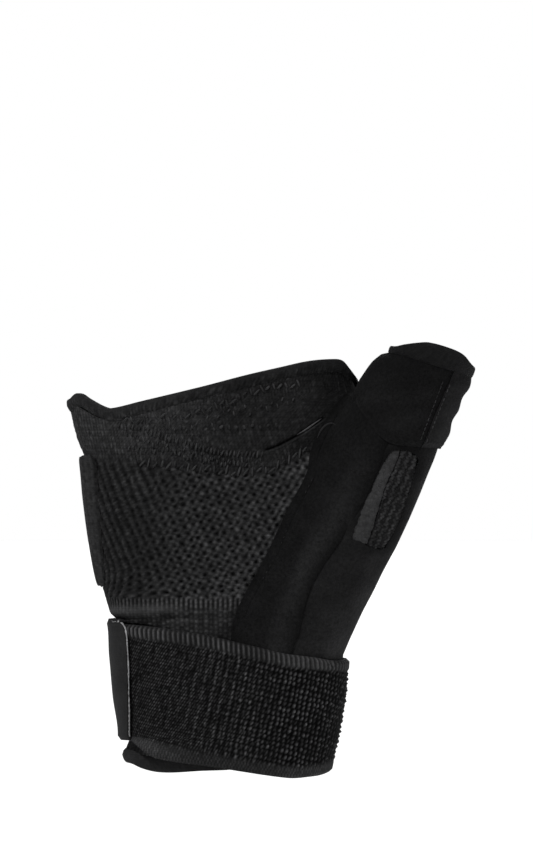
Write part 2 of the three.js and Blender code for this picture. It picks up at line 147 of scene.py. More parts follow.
# Edges in front view: x as a share of palmWidth or wristWidth, height of bodyHeight
palmRim = [
    (-0.66, 0.88), (-0.581, 0.909), (-0.558, 0.921), (-0.523, 0.908), (-0.471, 0.89), (-0.435, 0.885),
    (-0.324, 0.902), (-0.109, 0.936), (0.063, 0.965), (0.192, 0.984), (0.291, 0.998), (0.374, 1.003),
    (0.407, 1), (0.431, 0.982), (0.47, 0.947),
]
cuffRim = [
    (-0.8, 0.047), (-0.494, 0.031), (-0.436, 0.0195), (-0.375, 0.012), (-0.3, 0.01), (-0.147, 0.0145),
    (-0.027, 0.0165), (0.08, 0.02), (0.25, 0.014), (0.4375, 0.028), (0.53, 0.09), (0.8, 0.1),
]
strapUpperEdge = [
    (-0.8, 0.385), (-0.512, 0.37), (-0.152, 0.344), (0.103, 0.315), (0.286, 0.294), (0.566, 0.284),
    (0.8, 0.281),
]
strapLowerEdge = [
    (-0.8, 0.095), (-0.494, 0.087), (-0.411, 0.0625), (-0.33, 0.046), (-0.08, 0.027), (0.253, 0),
    (0.345, 0.002), (0.431, 0.012), (0.484, 0.038), (0.531, 0.078), (0.8, 0.094),
]
palmarPocketInnerEdge = [
    (0.006, 0.28), (0.006, 0.363), (0.041, 0.426), (0.12, 0.522), (0.199, 0.635), (0.278, 0.727),
    (0.292, 0.784), (0.349, 0.866), (0.403, 0.916),
]
palmarPocketOuterEdge = [
    (0.209, 0.25), (0.216, 0.303), (0.242, 0.352), (0.274, 0.426), (0.328, 0.501), (0.399, 0.573),
    (0.493, 0.684), (0.564, 0.802),
]
# across as a share of thumbWidth, along of thumbLength
thumbRim = [
    (-0.85, 0.985), (-0.504, 1), (-0.39, 1.018), (-0.254, 1.037), (-0.104, 1.053), (0.2, 1.063),
    (0.4, 1.062), (0.56, 1.045), (0.9, 1.02),
]
thumbHemLine = [(-0.85, 0.962), (-0.517, 0.979), (0, 0.994), (0.41, 1.006), (0.9, 1.013)]
thumbStrapLowerEdge = [
    (-0.733, 0.858), (-0.68, 0.796), (-0.417, 0.753), (-0.0625, 0.722), (0.304, 0.742), (0.62, 0.767),
    (0.9, 0.775),
]
windowOutline = [
    (0.096, 0.712), (0, 0.663), (0, 0.43), (0.14, 0.408), (0.4, 0.415), (0.47, 0.491), (0.433, 0.605),
    (0.375, 0.7), (0.27, 0.722),
]


# A smooth curve through a table's rows, at any place
def curveThrough(at, values, where):
    at = np.asarray(at, float)
    values = np.asarray(values, float)
    before = np.r_[0, np.arange(len(at) - 1)]
    after = np.r_[np.arange(1, len(at)), len(at) - 1]
    slope = (values[after] - values[before]) / (at[after] - at[before])
    i = np.clip(np.searchsorted(at, where) - 1, 0, len(at) - 2)
    span = at[i + 1] - at[i]
    t = np.clip((where - at[i]) / span, 0, 1)
    rise = values[i + 1] - values[i]
    first, last = slope[i] * span, slope[i + 1] * span
    return values[i] + t * (first + t * (3 * rise - 2 * first - last + t * (first + last - 2 * rise)))


# The height of an edge above any x, from its table
def lineThrough(rows, width, height):
    x = [row[0] * width for row in rows]
    up = [row[1] * height for row in rows]
    return lambda where: curveThrough(x, up, np.asarray(where, float))


def denseTable(rows, names, length, lengths):
    at = [row[0] * length for row in rows]
    dense = np.linspace(at[0], at[-1], 900)
    return dense, {name: curveThrough(at, values, dense) for name, values in zip(names, lengths)}


bodyUps, bodySizes = denseTable(
    bodyRows,
    ("left", "right", "front", "back", "square", "hollow"),
    splint["bodyHeight"],
    [
        [row[2] * row[1][0] for row in bodyRows],
        [row[3] * row[1][0] for row in bodyRows],
        [row[4] * row[1][1] for row in bodyRows],
        [row[5] * row[1][1] for row in bodyRows],
        [row[6] for row in bodyRows],
        [row[7] for row in bodyRows],
    ],
)
thumbUps, thumbSizes = denseTable(
    thumbRows,
    ("inner", "outer", "front", "back"),
    splint["thumbLength"],
    [
        [row[1] * splint["thumbWidth"] for row in thumbRows],
        [row[2] * splint["thumbWidth"] for row in thumbRows],
        [row[3] * splint["thumbDepth"] for row in thumbRows],
        [row[4] * splint["thumbDepth"] for row in thumbRows],
    ],
)
thumbStart = np.array([
    splint["thumbRoot"][0] * splint["wristWidth"],
    splint["thumbRoot"][1] * splint["wristDepth"],
    splint["thumbRoot"][2] * splint["bodyHeight"],
])
alongThumb = np.array([math.sin(splint["thumbLean"]), 0, math.cos(splint["thumbLean"])])
acrossThumb = np.array([math.cos(splint["thumbLean"]), 0, -math.sin(splint["thumbLean"])])

palmRimAt = lineThrough(palmRim, splint["palmWidth"], splint["bodyHeight"])
cuffRimAt = lineThrough(cuffRim, splint["wristWidth"], splint["bodyHeight"])
strapUpperAt = lineThrough(strapUpperEdge, splint["wristWidth"], splint["bodyHeight"])
strapLowerAt = lineThrough(strapLowerEdge, splint["wristWidth"], splint["bodyHeight"])
thumbRimAt = lineThrough(thumbRim, splint["thumbWidth"], splint["thumbLength"])
thumbHemLineAt = lineThrough(thumbHemLine, splint["thumbWidth"], splint["thumbLength"])
thumbStrapLowerAt = lineThrough(thumbStrapLowerEdge, splint["thumbWidth"], splint["thumbLength"])


# The x of a rising edge at any height, from its table
def edgeAcross(rows):
    up = [row[1] * splint["bodyHeight"] for row in rows]
    x = [row[0] * splint["palmWidth"] for row in rows]
    return lambda z: curveThrough(up, x, np.asarray(z, float))


pocketInnerAt = edgeAcross(palmarPocketInnerEdge)
pocketOuterAt = edgeAcross(palmarPocketOuterEdge)


def step(low, high, where):
    t = np.clip((where - low) / (high - low), 0, 1)
    return t * t * (3 - 2 * t)


def bodySize(name, z):
    return np.interp(z, bodyUps, bodySizes[name])


def thumbSize(name, along):
    return np.interp(along, thumbUps, thumbSizes[name])


# How far a point lies outside a section, with the way out of it
def sectionField(across, deep, halfAcross, halfDeep, power):
    u = np.abs(across) / halfAcross
    v = np.abs(deep) / halfDeep
    share = (u ** power + v ** power) ** (1 / power) + 1e-9
    outAcross = (u / share) ** (power - 1) / halfAcross * np.sign(across)
    outDeep = (v / share) ** (power - 1) / halfDeep * np.sign(deep)
    steep = np.maximum(np.hypot(outAcross, outDeep), 5)
    return (share - 1) / steep, outAcross / steep, outDeep / steep


def bodyField(x, y, z):
    left, right = bodySize("left", z), bodySize("right", z)
    fromMiddle = (x / splint["palmWidth"] - splint["hollowMiddle"]) / splint["hollowWidth"]
    front = bodySize("front", z) * (1 - bodySize("hollow", z) * np.exp(-fromMiddle ** 2))
    deep = np.where(y < 0, front, bodySize("back", z))
    return sectionField(x - (left + right) / 2, y, (right - left) / 2, deep, bodySize("square", z))


def inThumb(x, z):
    dx, dz = x - thumbStart[0], z - thumbStart[2]
    return dx * alongThumb[0] + dz * alongThumb[2], dx * acrossThumb[0] + dz * acrossThumb[2]


def thumbMiddle(along):
    return thumbStart[1] - splint["thumbForward"] * along / splint["thumbLength"]


def thumbField(x, y, z):
    along, across = inThumb(x, z)
    deep = y - thumbMiddle(along)
    halfAcross = np.where(across < 0, thumbSize("inner", along), thumbSize("outer", along))
    halfDeep = np.where(deep < 0, thumbSize("front", along), thumbSize("back", along))
    far, outAcross, outDeep = sectionField(across, deep, halfAcross, halfDeep, 2)
    return np.maximum(far, -along), outAcross * acrossThumb[0], outDeep


# How far outside the sleeve's surface a point lies, with the fold between the tubes rounded
def sleeveField(x, y, z):
    body, bodyX, bodyY = bodyField(x, y, z)
    thumb, thumbX, thumbY = thumbField(x, y, z)
    reach = splint["webBlend"] * np.hypot(bodyX - thumbX, bodyY - thumbY) / 2 + 1e-5
    near = np.clip(reach - np.abs(body - thumb), 0, None)
    return np.minimum(body, thumb) - near ** 2 / (4 * reach)


def normalsAt(points):
    reach = 0.05 * mm
    x, y, z = points[..., 0], points[..., 1], points[..., 2]
    slopes = np.stack([
        sleeveField(x + reach, y, z) - sleeveField(x - reach, y, z),
        sleeveField(x, y + reach, z) - sleeveField(x, y - reach, z),
        sleeveField(x, y, z + reach) - sleeveField(x, y, z - reach),
    ], axis=-1)
    return slopes / np.maximum(np.linalg.norm(slopes, axis=-1, keepdims=True), 1e-12)


# A depth inside the sleeve behind any place of the front view
def middleDepth(x, z):
    along = inThumb(x, z)[0]
    atThumb = thumbMiddle(along)
    return np.where(sleeveField(x, 0 * x, z) <= sleeveField(x, atThumb, z), 0, atThumb)


# Points of the sleeve's surface in front (side -1) or behind (side 1) any place of the front view
def surfaceAt(x, z, side):
    x, z = np.broadcast_arrays(np.asarray(x, float), np.asarray(z, float))
    start = middleDepth(x, z)
    inner = start.copy()
    outer = start + side * 40 * mm
    outside = sleeveField(x, start, z) > 0
    for _ in range(26):
        middle = (inner + outer) / 2
        within = sleeveField(x, middle, z) < 0
        inner = np.where(within, middle, inner)
        outer = np.where(within, outer, middle)
    depth = np.where(outside, start, (inner + outer) / 2)
    return np.stack([x, depth, z], axis=-1)


# The left and right outline of the sleeve in front view at every height
def silhouettes():
    z = np.linspace(-0.004, splint["bodyHeight"] * 1.06, 700)
    along = np.linspace(0, splint["thumbLength"] * 1.09, 700)
    edge = thumbStart + along[:, None] * alongThumb + thumbSize("outer", along)[:, None] * acrossThumb
    thumbRight = np.interp(z, edge[:, 2], edge[:, 0], left=-1)
    return z, bodySize("left", z), np.maximum(bodySize("right", z), thumbRight)


outlineUps, outlineLeft, outlineRight = silhouettes()


# The x and z of a row round the body, where rowZ gives the row's height above any x
def ringX(turn, rowZ):
    x = np.zeros_like(turn)
    for _ in range(12):
        z = rowZ(x)
        left = np.interp(z, outlineUps, outlineLeft)
        right = np.interp(z, outlineUps, outlineRight)
        x = (left + right) / 2 + (right - left) / 2 * np.cos(turn)
    return x, rowZ(x)


# Points along one row of the front or the back, evenly spaced between the cuts.
# cuts are x values of the row, from the left outline to the right one, and counts the steps between
# them. Also returns how far along the cloth each point lies from x = 0
def sideRow(rowZ, side, cuts, counts):
    turn = np.linspace(math.pi, 0, 361)
    x, z = ringX(turn, rowZ)
    dense = surfaceAt(x, z, side)
    gone = np.r_[0, np.cumsum(np.linalg.norm(np.diff(dense, axis=0), axis=1))]
    stops = [0, *[np.interp(cut, x, gone) for cut in cuts], gone[-1]]
    wanted = np.concatenate([
        np.linspace(low, high, count + 1)[:-1] for low, high, count in zip(stops, stops[1:], counts)
    ] + [[gone[-1]]])
    turns = np.interp(wanted, gone, turn)
    x, z = ringX(turns, rowZ)
    return surfaceAt(x, z, side), wanted - np.interp(0, x, wanted)


# A point on the main tube, from its height, its angle round the section and its distance outside
def bodyPoint(z, turn, grow):
    left, right = bodySize("left", z) - grow, bodySize("right", z) + grow
    power = 2 / bodySize("square", z)
    cos, sin = np.cos(turn), np.sin(turn)
    x = (left + right) / 2 + (right - left) / 2 * np.sign(cos) * np.abs(cos) ** power
    fromMiddle = (x / splint["palmWidth"] - splint["hollowMiddle"]) / splint["hollowWidth"]
    front = bodySize("front", z) * (1 - bodySize("hollow", z) * np.exp(-fromMiddle ** 2))
    deep = np.where(sin < 0, front, bodySize("back", z)) + grow
    return np.stack([x, deep * np.sign(sin) * np.abs(sin) ** power, z + 0 * x], axis=-1)


# A point on the thumb tube, in the same way
def thumbPoint(along, turn, grow):
    cos, sin = np.cos(turn), np.sin(turn)
    across = cos * (np.where(cos < 0, thumbSize("inner", along), thumbSize("outer", along)) + grow)
    deep = sin * (np.where(sin < 0, thumbSize("front", along), thumbSize("back", along)) + grow)
    place = thumbStart + along[..., None] * alongThumb + across[..., None] * acrossThumb
    place[..., 1] = thumbMiddle(along) + deep
    return place


print("form ready")


# Mesh helpers
def selectOnly(ob):
    bpy.ops.object.select_all(action="DESELECT")
    ob.select_set(True)
    bpy.context.view_layer.objects.active = ob


# Runs one mesh operator on the whole piece
def inEditMode(ob, operator, **options):
    selectOnly(ob)
    bpy.ops.object.mode_set(mode="EDIT")
    bpy.ops.mesh.select_all(action="SELECT")
    operator(**options)
    bpy.ops.object.mode_set(mode="OBJECT")

# How bright the cloth is painted at each vertex: the dye's own unevenness, with painted highlights and painted
# shade
def setTone(mesh, values):
    mesh.attributes.new("tone", "FLOAT", "POINT").data.foreach_set("value", values.astype(np.float32))

# A grid whose vertices are laid at the points, rows by columns.
# A girth closes it into a tube of that length round
def addGrid(name, points, uv, tone, girth=0):
    rows, columns = points.shape[:2]
    if girth:
        points = np.concatenate([points, points[:, :1]], axis=1)
        uv = np.concatenate([uv, uv[:, :1] + [girth, 0]], axis=1)
        tone = np.concatenate([tone, tone[:, :1]], axis=1)
        columns += 1
    bpy.ops.mesh.primitive_grid_add(x_subdivisions=columns - 1, y_subdivisions=rows - 1, size=1)
    ob = bpy.context.object
    ob.name = name
    mesh = ob.data
    mesh.name = name
    mesh.vertices.foreach_set("co", points.reshape(-1).astype(np.float32))
    corner = np.zeros(len(mesh.loops), np.int32)
    mesh.loops.foreach_get("vertex_index", corner)
    mesh.uv_layers[0].data.foreach_set("uv", uv.reshape(-1, 2)[corner].reshape(-1).astype(np.float32))
    mesh.uv_layers[0].name = "cloth"
    setTone(mesh, tone.reshape(-1))
    if girth:
        inEditMode(ob, bpy.ops.mesh.remove_doubles, threshold=1e-6)
    mesh.update()
    return ob


def facesOut(ob):
    inEditMode(ob, bpy.ops.mesh.normals_make_consistent, inside=False)


def applyAll(ob):
    selectOnly(ob)
    for modifier in list(ob.modifiers):
        bpy.ops.object.modifier_apply(modifier=modifier.name)


def joinPieces(name, pieces):
    selectOnly(pieces[0])
    for piece in pieces[1:]:
        piece.select_set(True)
    bpy.ops.object.join()
    pieces[0].name = name
    pieces[0].data.name = name
    return pieces[0]


def smoothShade(ob, angle=None):
    selectOnly(ob)
    if angle:
        bpy.ops.object.shade_smooth_by_angle(angle=math.radians(angle))
    else:
        bpy.ops.object.shade_smooth()


# A closed wall: a fine grid outside, a coarse one inside and a face for each step of the rims.
# Every steps[0] rows and steps[1] columns of the outer grid meet one of the inner grid
def linedShell(name, outer, inner, uv, tone, steps, closed):
    rows, columns = outer.shape[:2]
    innerRows, innerColumns = inner.shape[:2]
    count = rows * columns
    at = np.arange(count).reshape(rows, columns)
    within = count + np.arange(innerRows * innerColumns).reshape(innerRows, innerColumns)

    def quads(grid, flip):
        ring = np.concatenate([grid, grid[:, :1]], axis=1) if closed else grid
        a, b, c, d = ring[:-1, :-1], ring[:-1, 1:], ring[1:, 1:], ring[1:, :-1]
        order = (d, c, b, a) if flip else (a, b, c, d)
        return np.stack(order, axis=-1).reshape(-1, 4).tolist()

    faces = quads(at, False) + quads(within, True)
    for edge, lining, flip in ((at[0], within[0], False), (at[-1], within[-1], True)):
        for j in range(innerColumns if closed else innerColumns - 1):
            run = [int(edge[k % columns]) for k in range(j * steps[1], (j + 1) * steps[1] + 1)]
            face = run[::-1] + [int(lining[j]), int(lining[(j + 1) % innerColumns])]
            faces.append(face[::-1] if flip else face)
    if not closed:
        for edge, lining, flip in ((at[:, 0], within[:, 0], True), (at[:, -1], within[:, -1], False)):
            for j in range(innerRows - 1):
                run = [int(edge[k]) for k in range(j * steps[0], (j + 1) * steps[0] + 1)]
                face = run[::-1] + [int(lining[j]), int(lining[j + 1])]
                faces.append(face[::-1] if flip else face)
    mesh = bpy.data.meshes.new(name)
    mesh.from_pydata(np.concatenate([outer.reshape(-1, 3), inner.reshape(-1, 3)]).tolist(), [], faces)
    ob = bpy.data.objects.new(name, mesh)
    bpy.context.collection.objects.link(ob)
    corner = np.zeros(len(mesh.loops), np.int32)
    mesh.loops.foreach_get("vertex_index", corner)
    innerUv = uv[::steps[0], ::steps[1]][:innerRows, :innerColumns]
    places = np.concatenate([uv.reshape(-1, 2), innerUv.reshape(-1, 2)])
    mesh.uv_layers.new(name="cloth").data.foreach_set("uv", places[corner].reshape(-1).astype(np.float32))
    setTone(mesh, np.concatenate([tone.reshape(-1), np.full(innerRows * innerColumns, 0.6)]))
    facesOut(ob)
    return ob


# A smooth, uneven value from -1 to 1 over two coordinates
def wobble(a, b, seed, size):
    draw = np.random.RandomState(seed)
    total = 0
    for _ in range(5):
        way = draw.uniform(0, 2 * math.pi)
        wave = size * draw.uniform(0.6, 1.6)
        phase = draw.uniform(0, 2 * math.pi)
        total = total + np.sin((a * math.cos(way) + b * math.sin(way)) / wave * 2 * math.pi + phase)
    return total / 5


# Shader groups
def newGroup(name, inputs, outputs):
    group = bpy.data.node_groups.new(name, "ShaderNodeTree")
    for label, kind, value in inputs:
        socket = group.interface.new_socket(name=label, in_out="INPUT", socket_type=kind)
        if value is not None:
            socket.default_value = value
    for label, kind in outputs:
        group.interface.new_socket(name=label, in_out="OUTPUT", socket_type=kind)
    return group, group.nodes.new("NodeGroupInput"), group.nodes.new("NodeGroupOutput")


def mathNode(tree, operation, a, b=None, c=None):
    node = tree.nodes.new("ShaderNodeMath")
    node.operation = operation
    for socket, value in zip(node.inputs, (a, b, c)):
        if value is None:
            continue
        if isinstance(value, (int, float)):
            socket.default_value = value
        else:
            tree.links.new(value, socket)
    return node.outputs[0]


# Rows of small looped yarn, from cloth coordinates in metres
def yarnGroup():
    group, given, made = newGroup(
        "yarnLoops",
        [
            ("Cloth", "NodeSocketVector", None),
            ("Loop Width", "NodeSocketFloat", 0.5 * mm),
            ("Loop Height", "NodeSocketFloat", 0.4 * mm),
            ("Slant", "NodeSocketFloat", 0.35),
        ],
        [("Height", "NodeSocketFloat")],
    )
    split = group.nodes.new("ShaderNodeSeparateXYZ")
    group.links.new(given.outputs["Cloth"], split.inputs[0])
    across = mathNode(group, "DIVIDE", split.outputs[0], given.outputs["Loop Width"])
    upward = mathNode(group, "DIVIDE", split.outputs[1], given.outputs["Loop Height"])
    share = mathNode(group, "PINGPONG", across, 0.5)
    lifted = mathNode(group, "MULTIPLY_ADD", share, given.outputs["Slant"], upward)
    leg = mathNode(group, "SINE", mathNode(group, "MULTIPLY", lifted, 2 * math.pi))
    rib = mathNode(group, "SINE", mathNode(group, "MULTIPLY", share, 2 * math.pi))
    height = mathNode(group, "MULTIPLY", mathNode(group, "MULTIPLY_ADD", leg, 0.4, 0.6), rib)
    group.links.new(height, made.inputs["Height"])
    return group


# Loose fibres, mottling and uneven dye, from Object coordinates
def fuzzGroup():
    group, given, made = newGroup(
        "fibreFuzz",
        [
            ("Place", "NodeSocketVector", None),
            ("Fibre Size", "NodeSocketFloat", 0.4 * mm),
            ("Mottle Size", "NodeSocketFloat", 0.9 * mm),
            ("Patch Size", "NodeSocketFloat", 8 * mm),
        ],
        [("Height", "NodeSocketFloat"), ("Mottle", "NodeSocketFloat"), ("Shade", "NodeSocketFloat")],
    )

    def noise(size, detail, roughness):
        node = group.nodes.new("ShaderNodeTexNoise")
        node.inputs["Detail"].default_value = detail
        node.inputs["Roughness"].default_value = roughness
        group.links.new(given.outputs["Place"], node.inputs["Vector"])
        group.links.new(mathNode(group, "DIVIDE", 1.0, given.outputs[size]), node.inputs["Scale"])
        return node.outputs["Fac"]

    def stretched(value, reach):
        return mathNode(group, "MULTIPLY", mathNode(group, "SUBTRACT", value, 0.5), 1 / reach)

    group.links.new(noise("Fibre Size", 2, 0.6), made.inputs["Height"])
    group.links.new(stretched(noise("Mottle Size", 4, 0.75), 0.17), made.inputs["Mottle"])
    group.links.new(stretched(noise("Patch Size", 2, 0.5), 0.2), made.inputs["Shade"])
    return group


yarnLoops = yarnGroup()
fibreFuzz = fuzzGroup()

# What each cloth looks like: dark and light are the greys painted in a gap, as painted shade, and on a raised
# yarn, as painted highlight
cloths = {
    "sleeveKnit": {
        "dark": 0.0006, "light": 0.034, "roughness": 0.85, "loopWidth": 0.66 * mm, "loopHeight": 0.5 * mm,
        "yarn": 0.35, "fuzz": 0.35, "grain": 0.28, "patches": 0.12, "sheen": 0.008,
    },
    "hemKnit": {
        "dark": 0.001, "light": 0.0135, "roughness": 0.8, "loopWidth": 0.6 * mm, "loopHeight": 0.45 * mm,
        "yarn": 0.4, "fuzz": 0.3, "grain": 0.25, "patches": 0.12, "sheen": 0.015,
    },
    "darkVelour": {
        "dark": 0.001, "light": 0.0105, "roughness": 0.95, "loopWidth": 0.4 * mm, "loopHeight": 0.4 * mm,
        "yarn": 0.1, "fuzz": 0.8, "grain": 0.48, "patches": 0.15, "sheen": 0.015,
    },
    "panelVelour": {
        "dark": 0.0015, "light": 0.015, "roughness": 0.95, "loopWidth": 0.4 * mm, "loopHeight": 0.4 * mm,
        "yarn": 0.1, "fuzz": 0.7, "grain": 0.42, "patches": 0.2, "sheen": 0.02,
    },
    "greyPlush": {
        "dark": 0.003, "light": 0.034, "roughness": 1, "loopWidth": 0.5 * mm, "loopHeight": 0.5 * mm,
        "yarn": 0.1, "fuzz": 1, "grain": 0.25, "patches": 0.12, "sheen": 0.05,
    },
    "strapKnit": {
        "dark": 0.0006, "light": 0.034, "roughness": 0.75, "loopWidth": 0.5 * mm, "loopHeight": 0.38 * mm,
        "yarn": 0.35, "fuzz": 0.35, "grain": 0.28, "patches": 0.12, "sheen": 0.006,
    },
    "tabCloth": {
        "dark": 0.005, "light": 0.017, "roughness": 0.7, "loopWidth": 0.5 * mm, "loopHeight": 0.5 * mm,
        "yarn": 0.15, "fuzz": 0.4, "grain": 0.2, "patches": 0.15, "sheen": 0.015,
    },
    # pale grey of the tab's edge cord, a painted highlight, and of the loose threads
    "edgeHighlightAndFrays": {
        "dark": 0.04, "light": 0.3, "roughness": 0.8, "loopWidth": 0.4 * mm, "loopHeight": 0.4 * mm,
        "yarn": 0.2, "fuzz": 1, "grain": 0.3, "patches": 0.2, "sheen": 0,
    },
    "threadAndFoldHighlight": {
        "dark": 0.003, "light": 0.036, "roughness": 0.6, "loopWidth": 0.3 * mm, "loopHeight": 0.3 * mm,
        "yarn": 0.2, "fuzz": 0.4, "grain": 0.2, "patches": 0.1, "sheen": 0.015,
    },
}


def clothMaterial(name, look):
    material = bpy.data.materials.new(name)
    material.use_nodes = True
    tree = material.node_tree
    shader = tree.nodes["Principled BSDF"]
    place = tree.nodes.new("ShaderNodeTexCoord")
    uv = tree.nodes.new("ShaderNodeUVMap")
    uv.uv_map = "cloth"
    tone = tree.nodes.new("ShaderNodeAttribute")
    tone.attribute_name = "tone"
    yarn = tree.nodes.new("ShaderNodeGroup")
    yarn.node_tree = yarnLoops
    yarn.inputs["Loop Width"].default_value = look["loopWidth"]
    yarn.inputs["Loop Height"].default_value = look["loopHeight"]
    tree.links.new(uv.outputs[0], yarn.inputs["Cloth"])
    fuzz = tree.nodes.new("ShaderNodeGroup")
    fuzz.node_tree = fibreFuzz
    tree.links.new(place.outputs["Object"], fuzz.inputs["Place"])

    yarnHeight = mathNode(tree, "MULTIPLY", yarn.outputs["Height"], look["yarn"])
    height = mathNode(tree, "MULTIPLY_ADD", fuzz.outputs["Height"], look["fuzz"], yarnHeight)
    bump = tree.nodes.new("ShaderNodeBump")
    bump.inputs["Distance"].default_value = 0.25 * mm
    bump.inputs["Strength"].default_value = 0.7
    tree.links.new(height, bump.inputs["Height"])
    tree.links.new(bump.outputs[0], shader.inputs["Normal"])

    patchy = mathNode(tree, "MULTIPLY_ADD", fuzz.outputs["Shade"], look["patches"], 1.0)
    mottled = mathNode(tree, "MULTIPLY_ADD", fuzz.outputs["Mottle"], look["grain"], 1.0)
    uneven = mathNode(tree, "MULTIPLY", mottled, patchy)
    # the yarn's raised rows painted lighter and its gaps darker: painted highlight and painted shade of the
    # loops
    ridgeHighlight = mathNode(tree, "MULTIPLY_ADD", yarn.outputs["Height"], look["yarn"], 1 - look["yarn"] / 2)
    raised = mathNode(tree, "MULTIPLY", mathNode(tree, "MULTIPLY", tone.outputs["Fac"], uneven), ridgeHighlight)
    lit = mathNode(tree, "MAXIMUM", raised, 0.0)
    mix = tree.nodes.new("ShaderNodeMix")
    mix.data_type = "RGBA"
    mix.clamp_factor = False
    mix.inputs["A"].default_value = (look["dark"], look["dark"], look["dark"], 1)
    mix.inputs["B"].default_value = (look["light"], look["light"], look["light"] * 1.02, 1)
    tree.links.new(lit, mix.inputs["Factor"])
    tree.links.new(mix.outputs["Result"], shader.inputs["Base Color"])
    rough = mathNode(tree, "MULTIPLY_ADD", fuzz.outputs["Height"], 0.2, look["roughness"] - 0.1)
    tree.links.new(rough, shader.inputs["Roughness"])
    shader.inputs["Specular IOR Level"].default_value = 0.03
    shader.inputs["Sheen Weight"].default_value = look["sheen"]
    shader.inputs["Sheen Roughness"].default_value = 0.5
    shader.inputs["Sheen Tint"].default_value = (0.8, 0.8, 0.85, 1)
    return material


clothOf = {name: clothMaterial(name, look) for name, look in cloths.items()}
print("cloths ready")


def finishPiece(ob, cloth, nodes=()):
    ob.data.materials.clear()
    ob.data.materials.append(clothOf[cloth])
    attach(ob, "root")
    if nodes:
        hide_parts(*nodes)
    return ob


# Palm sleeve
sleeve = {
    "rows": 210,
    "hiddenRows": 6,
    "frontColumns": (210, 24),  # to the palmar pocket, and under it
    "backColumns": (132, 12),  # to the thumb panel, and under it
    "liningSteps": (6, 6),
    "underStrap": 3 * mm,  # how far the fine knit runs under the wrist strap
    "underPocket": 3 * mm,
    "underHem": 0.6 * mm,
    "notch": (40.5 * mm, 115.5 * mm),  # bottom of the notch between the two tubes
    "dimpleAcross": (2.59 * mm, 0.65 * mm),  # from one open dimple to the next in its row, x and z
    "dimpleAlong": (0.92 * mm, -2.06 * mm),
    "dimpleDepth": 0.7 * mm,
    "dimpleWidth": 0.62 * mm,
    "dimpleHeight": 0.5 * mm,
    "strandHeight": 0.2 * mm,
    "ribPitch": 1.52 * mm,
    "ribHeight": 0.3 * mm,
    "plainPitch": 1.1 * mm,
    "plainHeight": 0.06 * mm,
    "creaseDepth": 1 * mm,
    "foldHeight": 0.45 * mm,
}
meshTop = [
    (-60, 97), (-45, 97), (-27, 96), (-5, 94), (9, 93), (15, 95), (24.5, 100.4), (30, 104), (45, 110),
]
meshTopAt = lineThrough(meshTop, mm, mm)
meshBottom = 54.8 * mm
creaseLine = [(9.5, 99.8), (14.5, 101.6), (19.9, 104.4), (24.6, 107.4), (29.4, 110.6)]


# Distance to a line of the front view, which side of it a point is on, and the share along it
def distanceTo(line, x, z):
    best = np.full(np.shape(x), 1e9)
    side = np.zeros(np.shape(x))
    share = np.zeros(np.shape(x))
    points = np.asarray(line, float)
    lengths = np.linalg.norm(np.diff(points, axis=0), axis=1)
    gone = np.r_[0, np.cumsum(lengths)]
    for i, (start, end) in enumerate(zip(points, points[1:])):
        way = end - start
        t = np.clip(((x - start[0]) * way[0] + (z - start[1]) * way[1]) / (way @ way), 0, 1)
        dx, dz = x - start[0] - t * way[0], z - start[1] - t * way[1]
        far = np.hypot(dx, dz)
        nearer = far < best
        best = np.where(nearer, far, best)
        side = np.where(nearer, np.sign(dx * -way[1] + dz * way[0]), side)
        share = np.where(nearer, (gone[i] + t * lengths[i]) / gone[-1], share)
    return best, side, share


# A fixed draw from 0 to 1 for each cell of a lattice
def cellDraw(i, j, seed):
    mixed = np.sin(np.round(i) * 12.9898 + np.round(j) * 78.233 + seed * 37.719) * 43758.5453
    return mixed - np.floor(mixed)


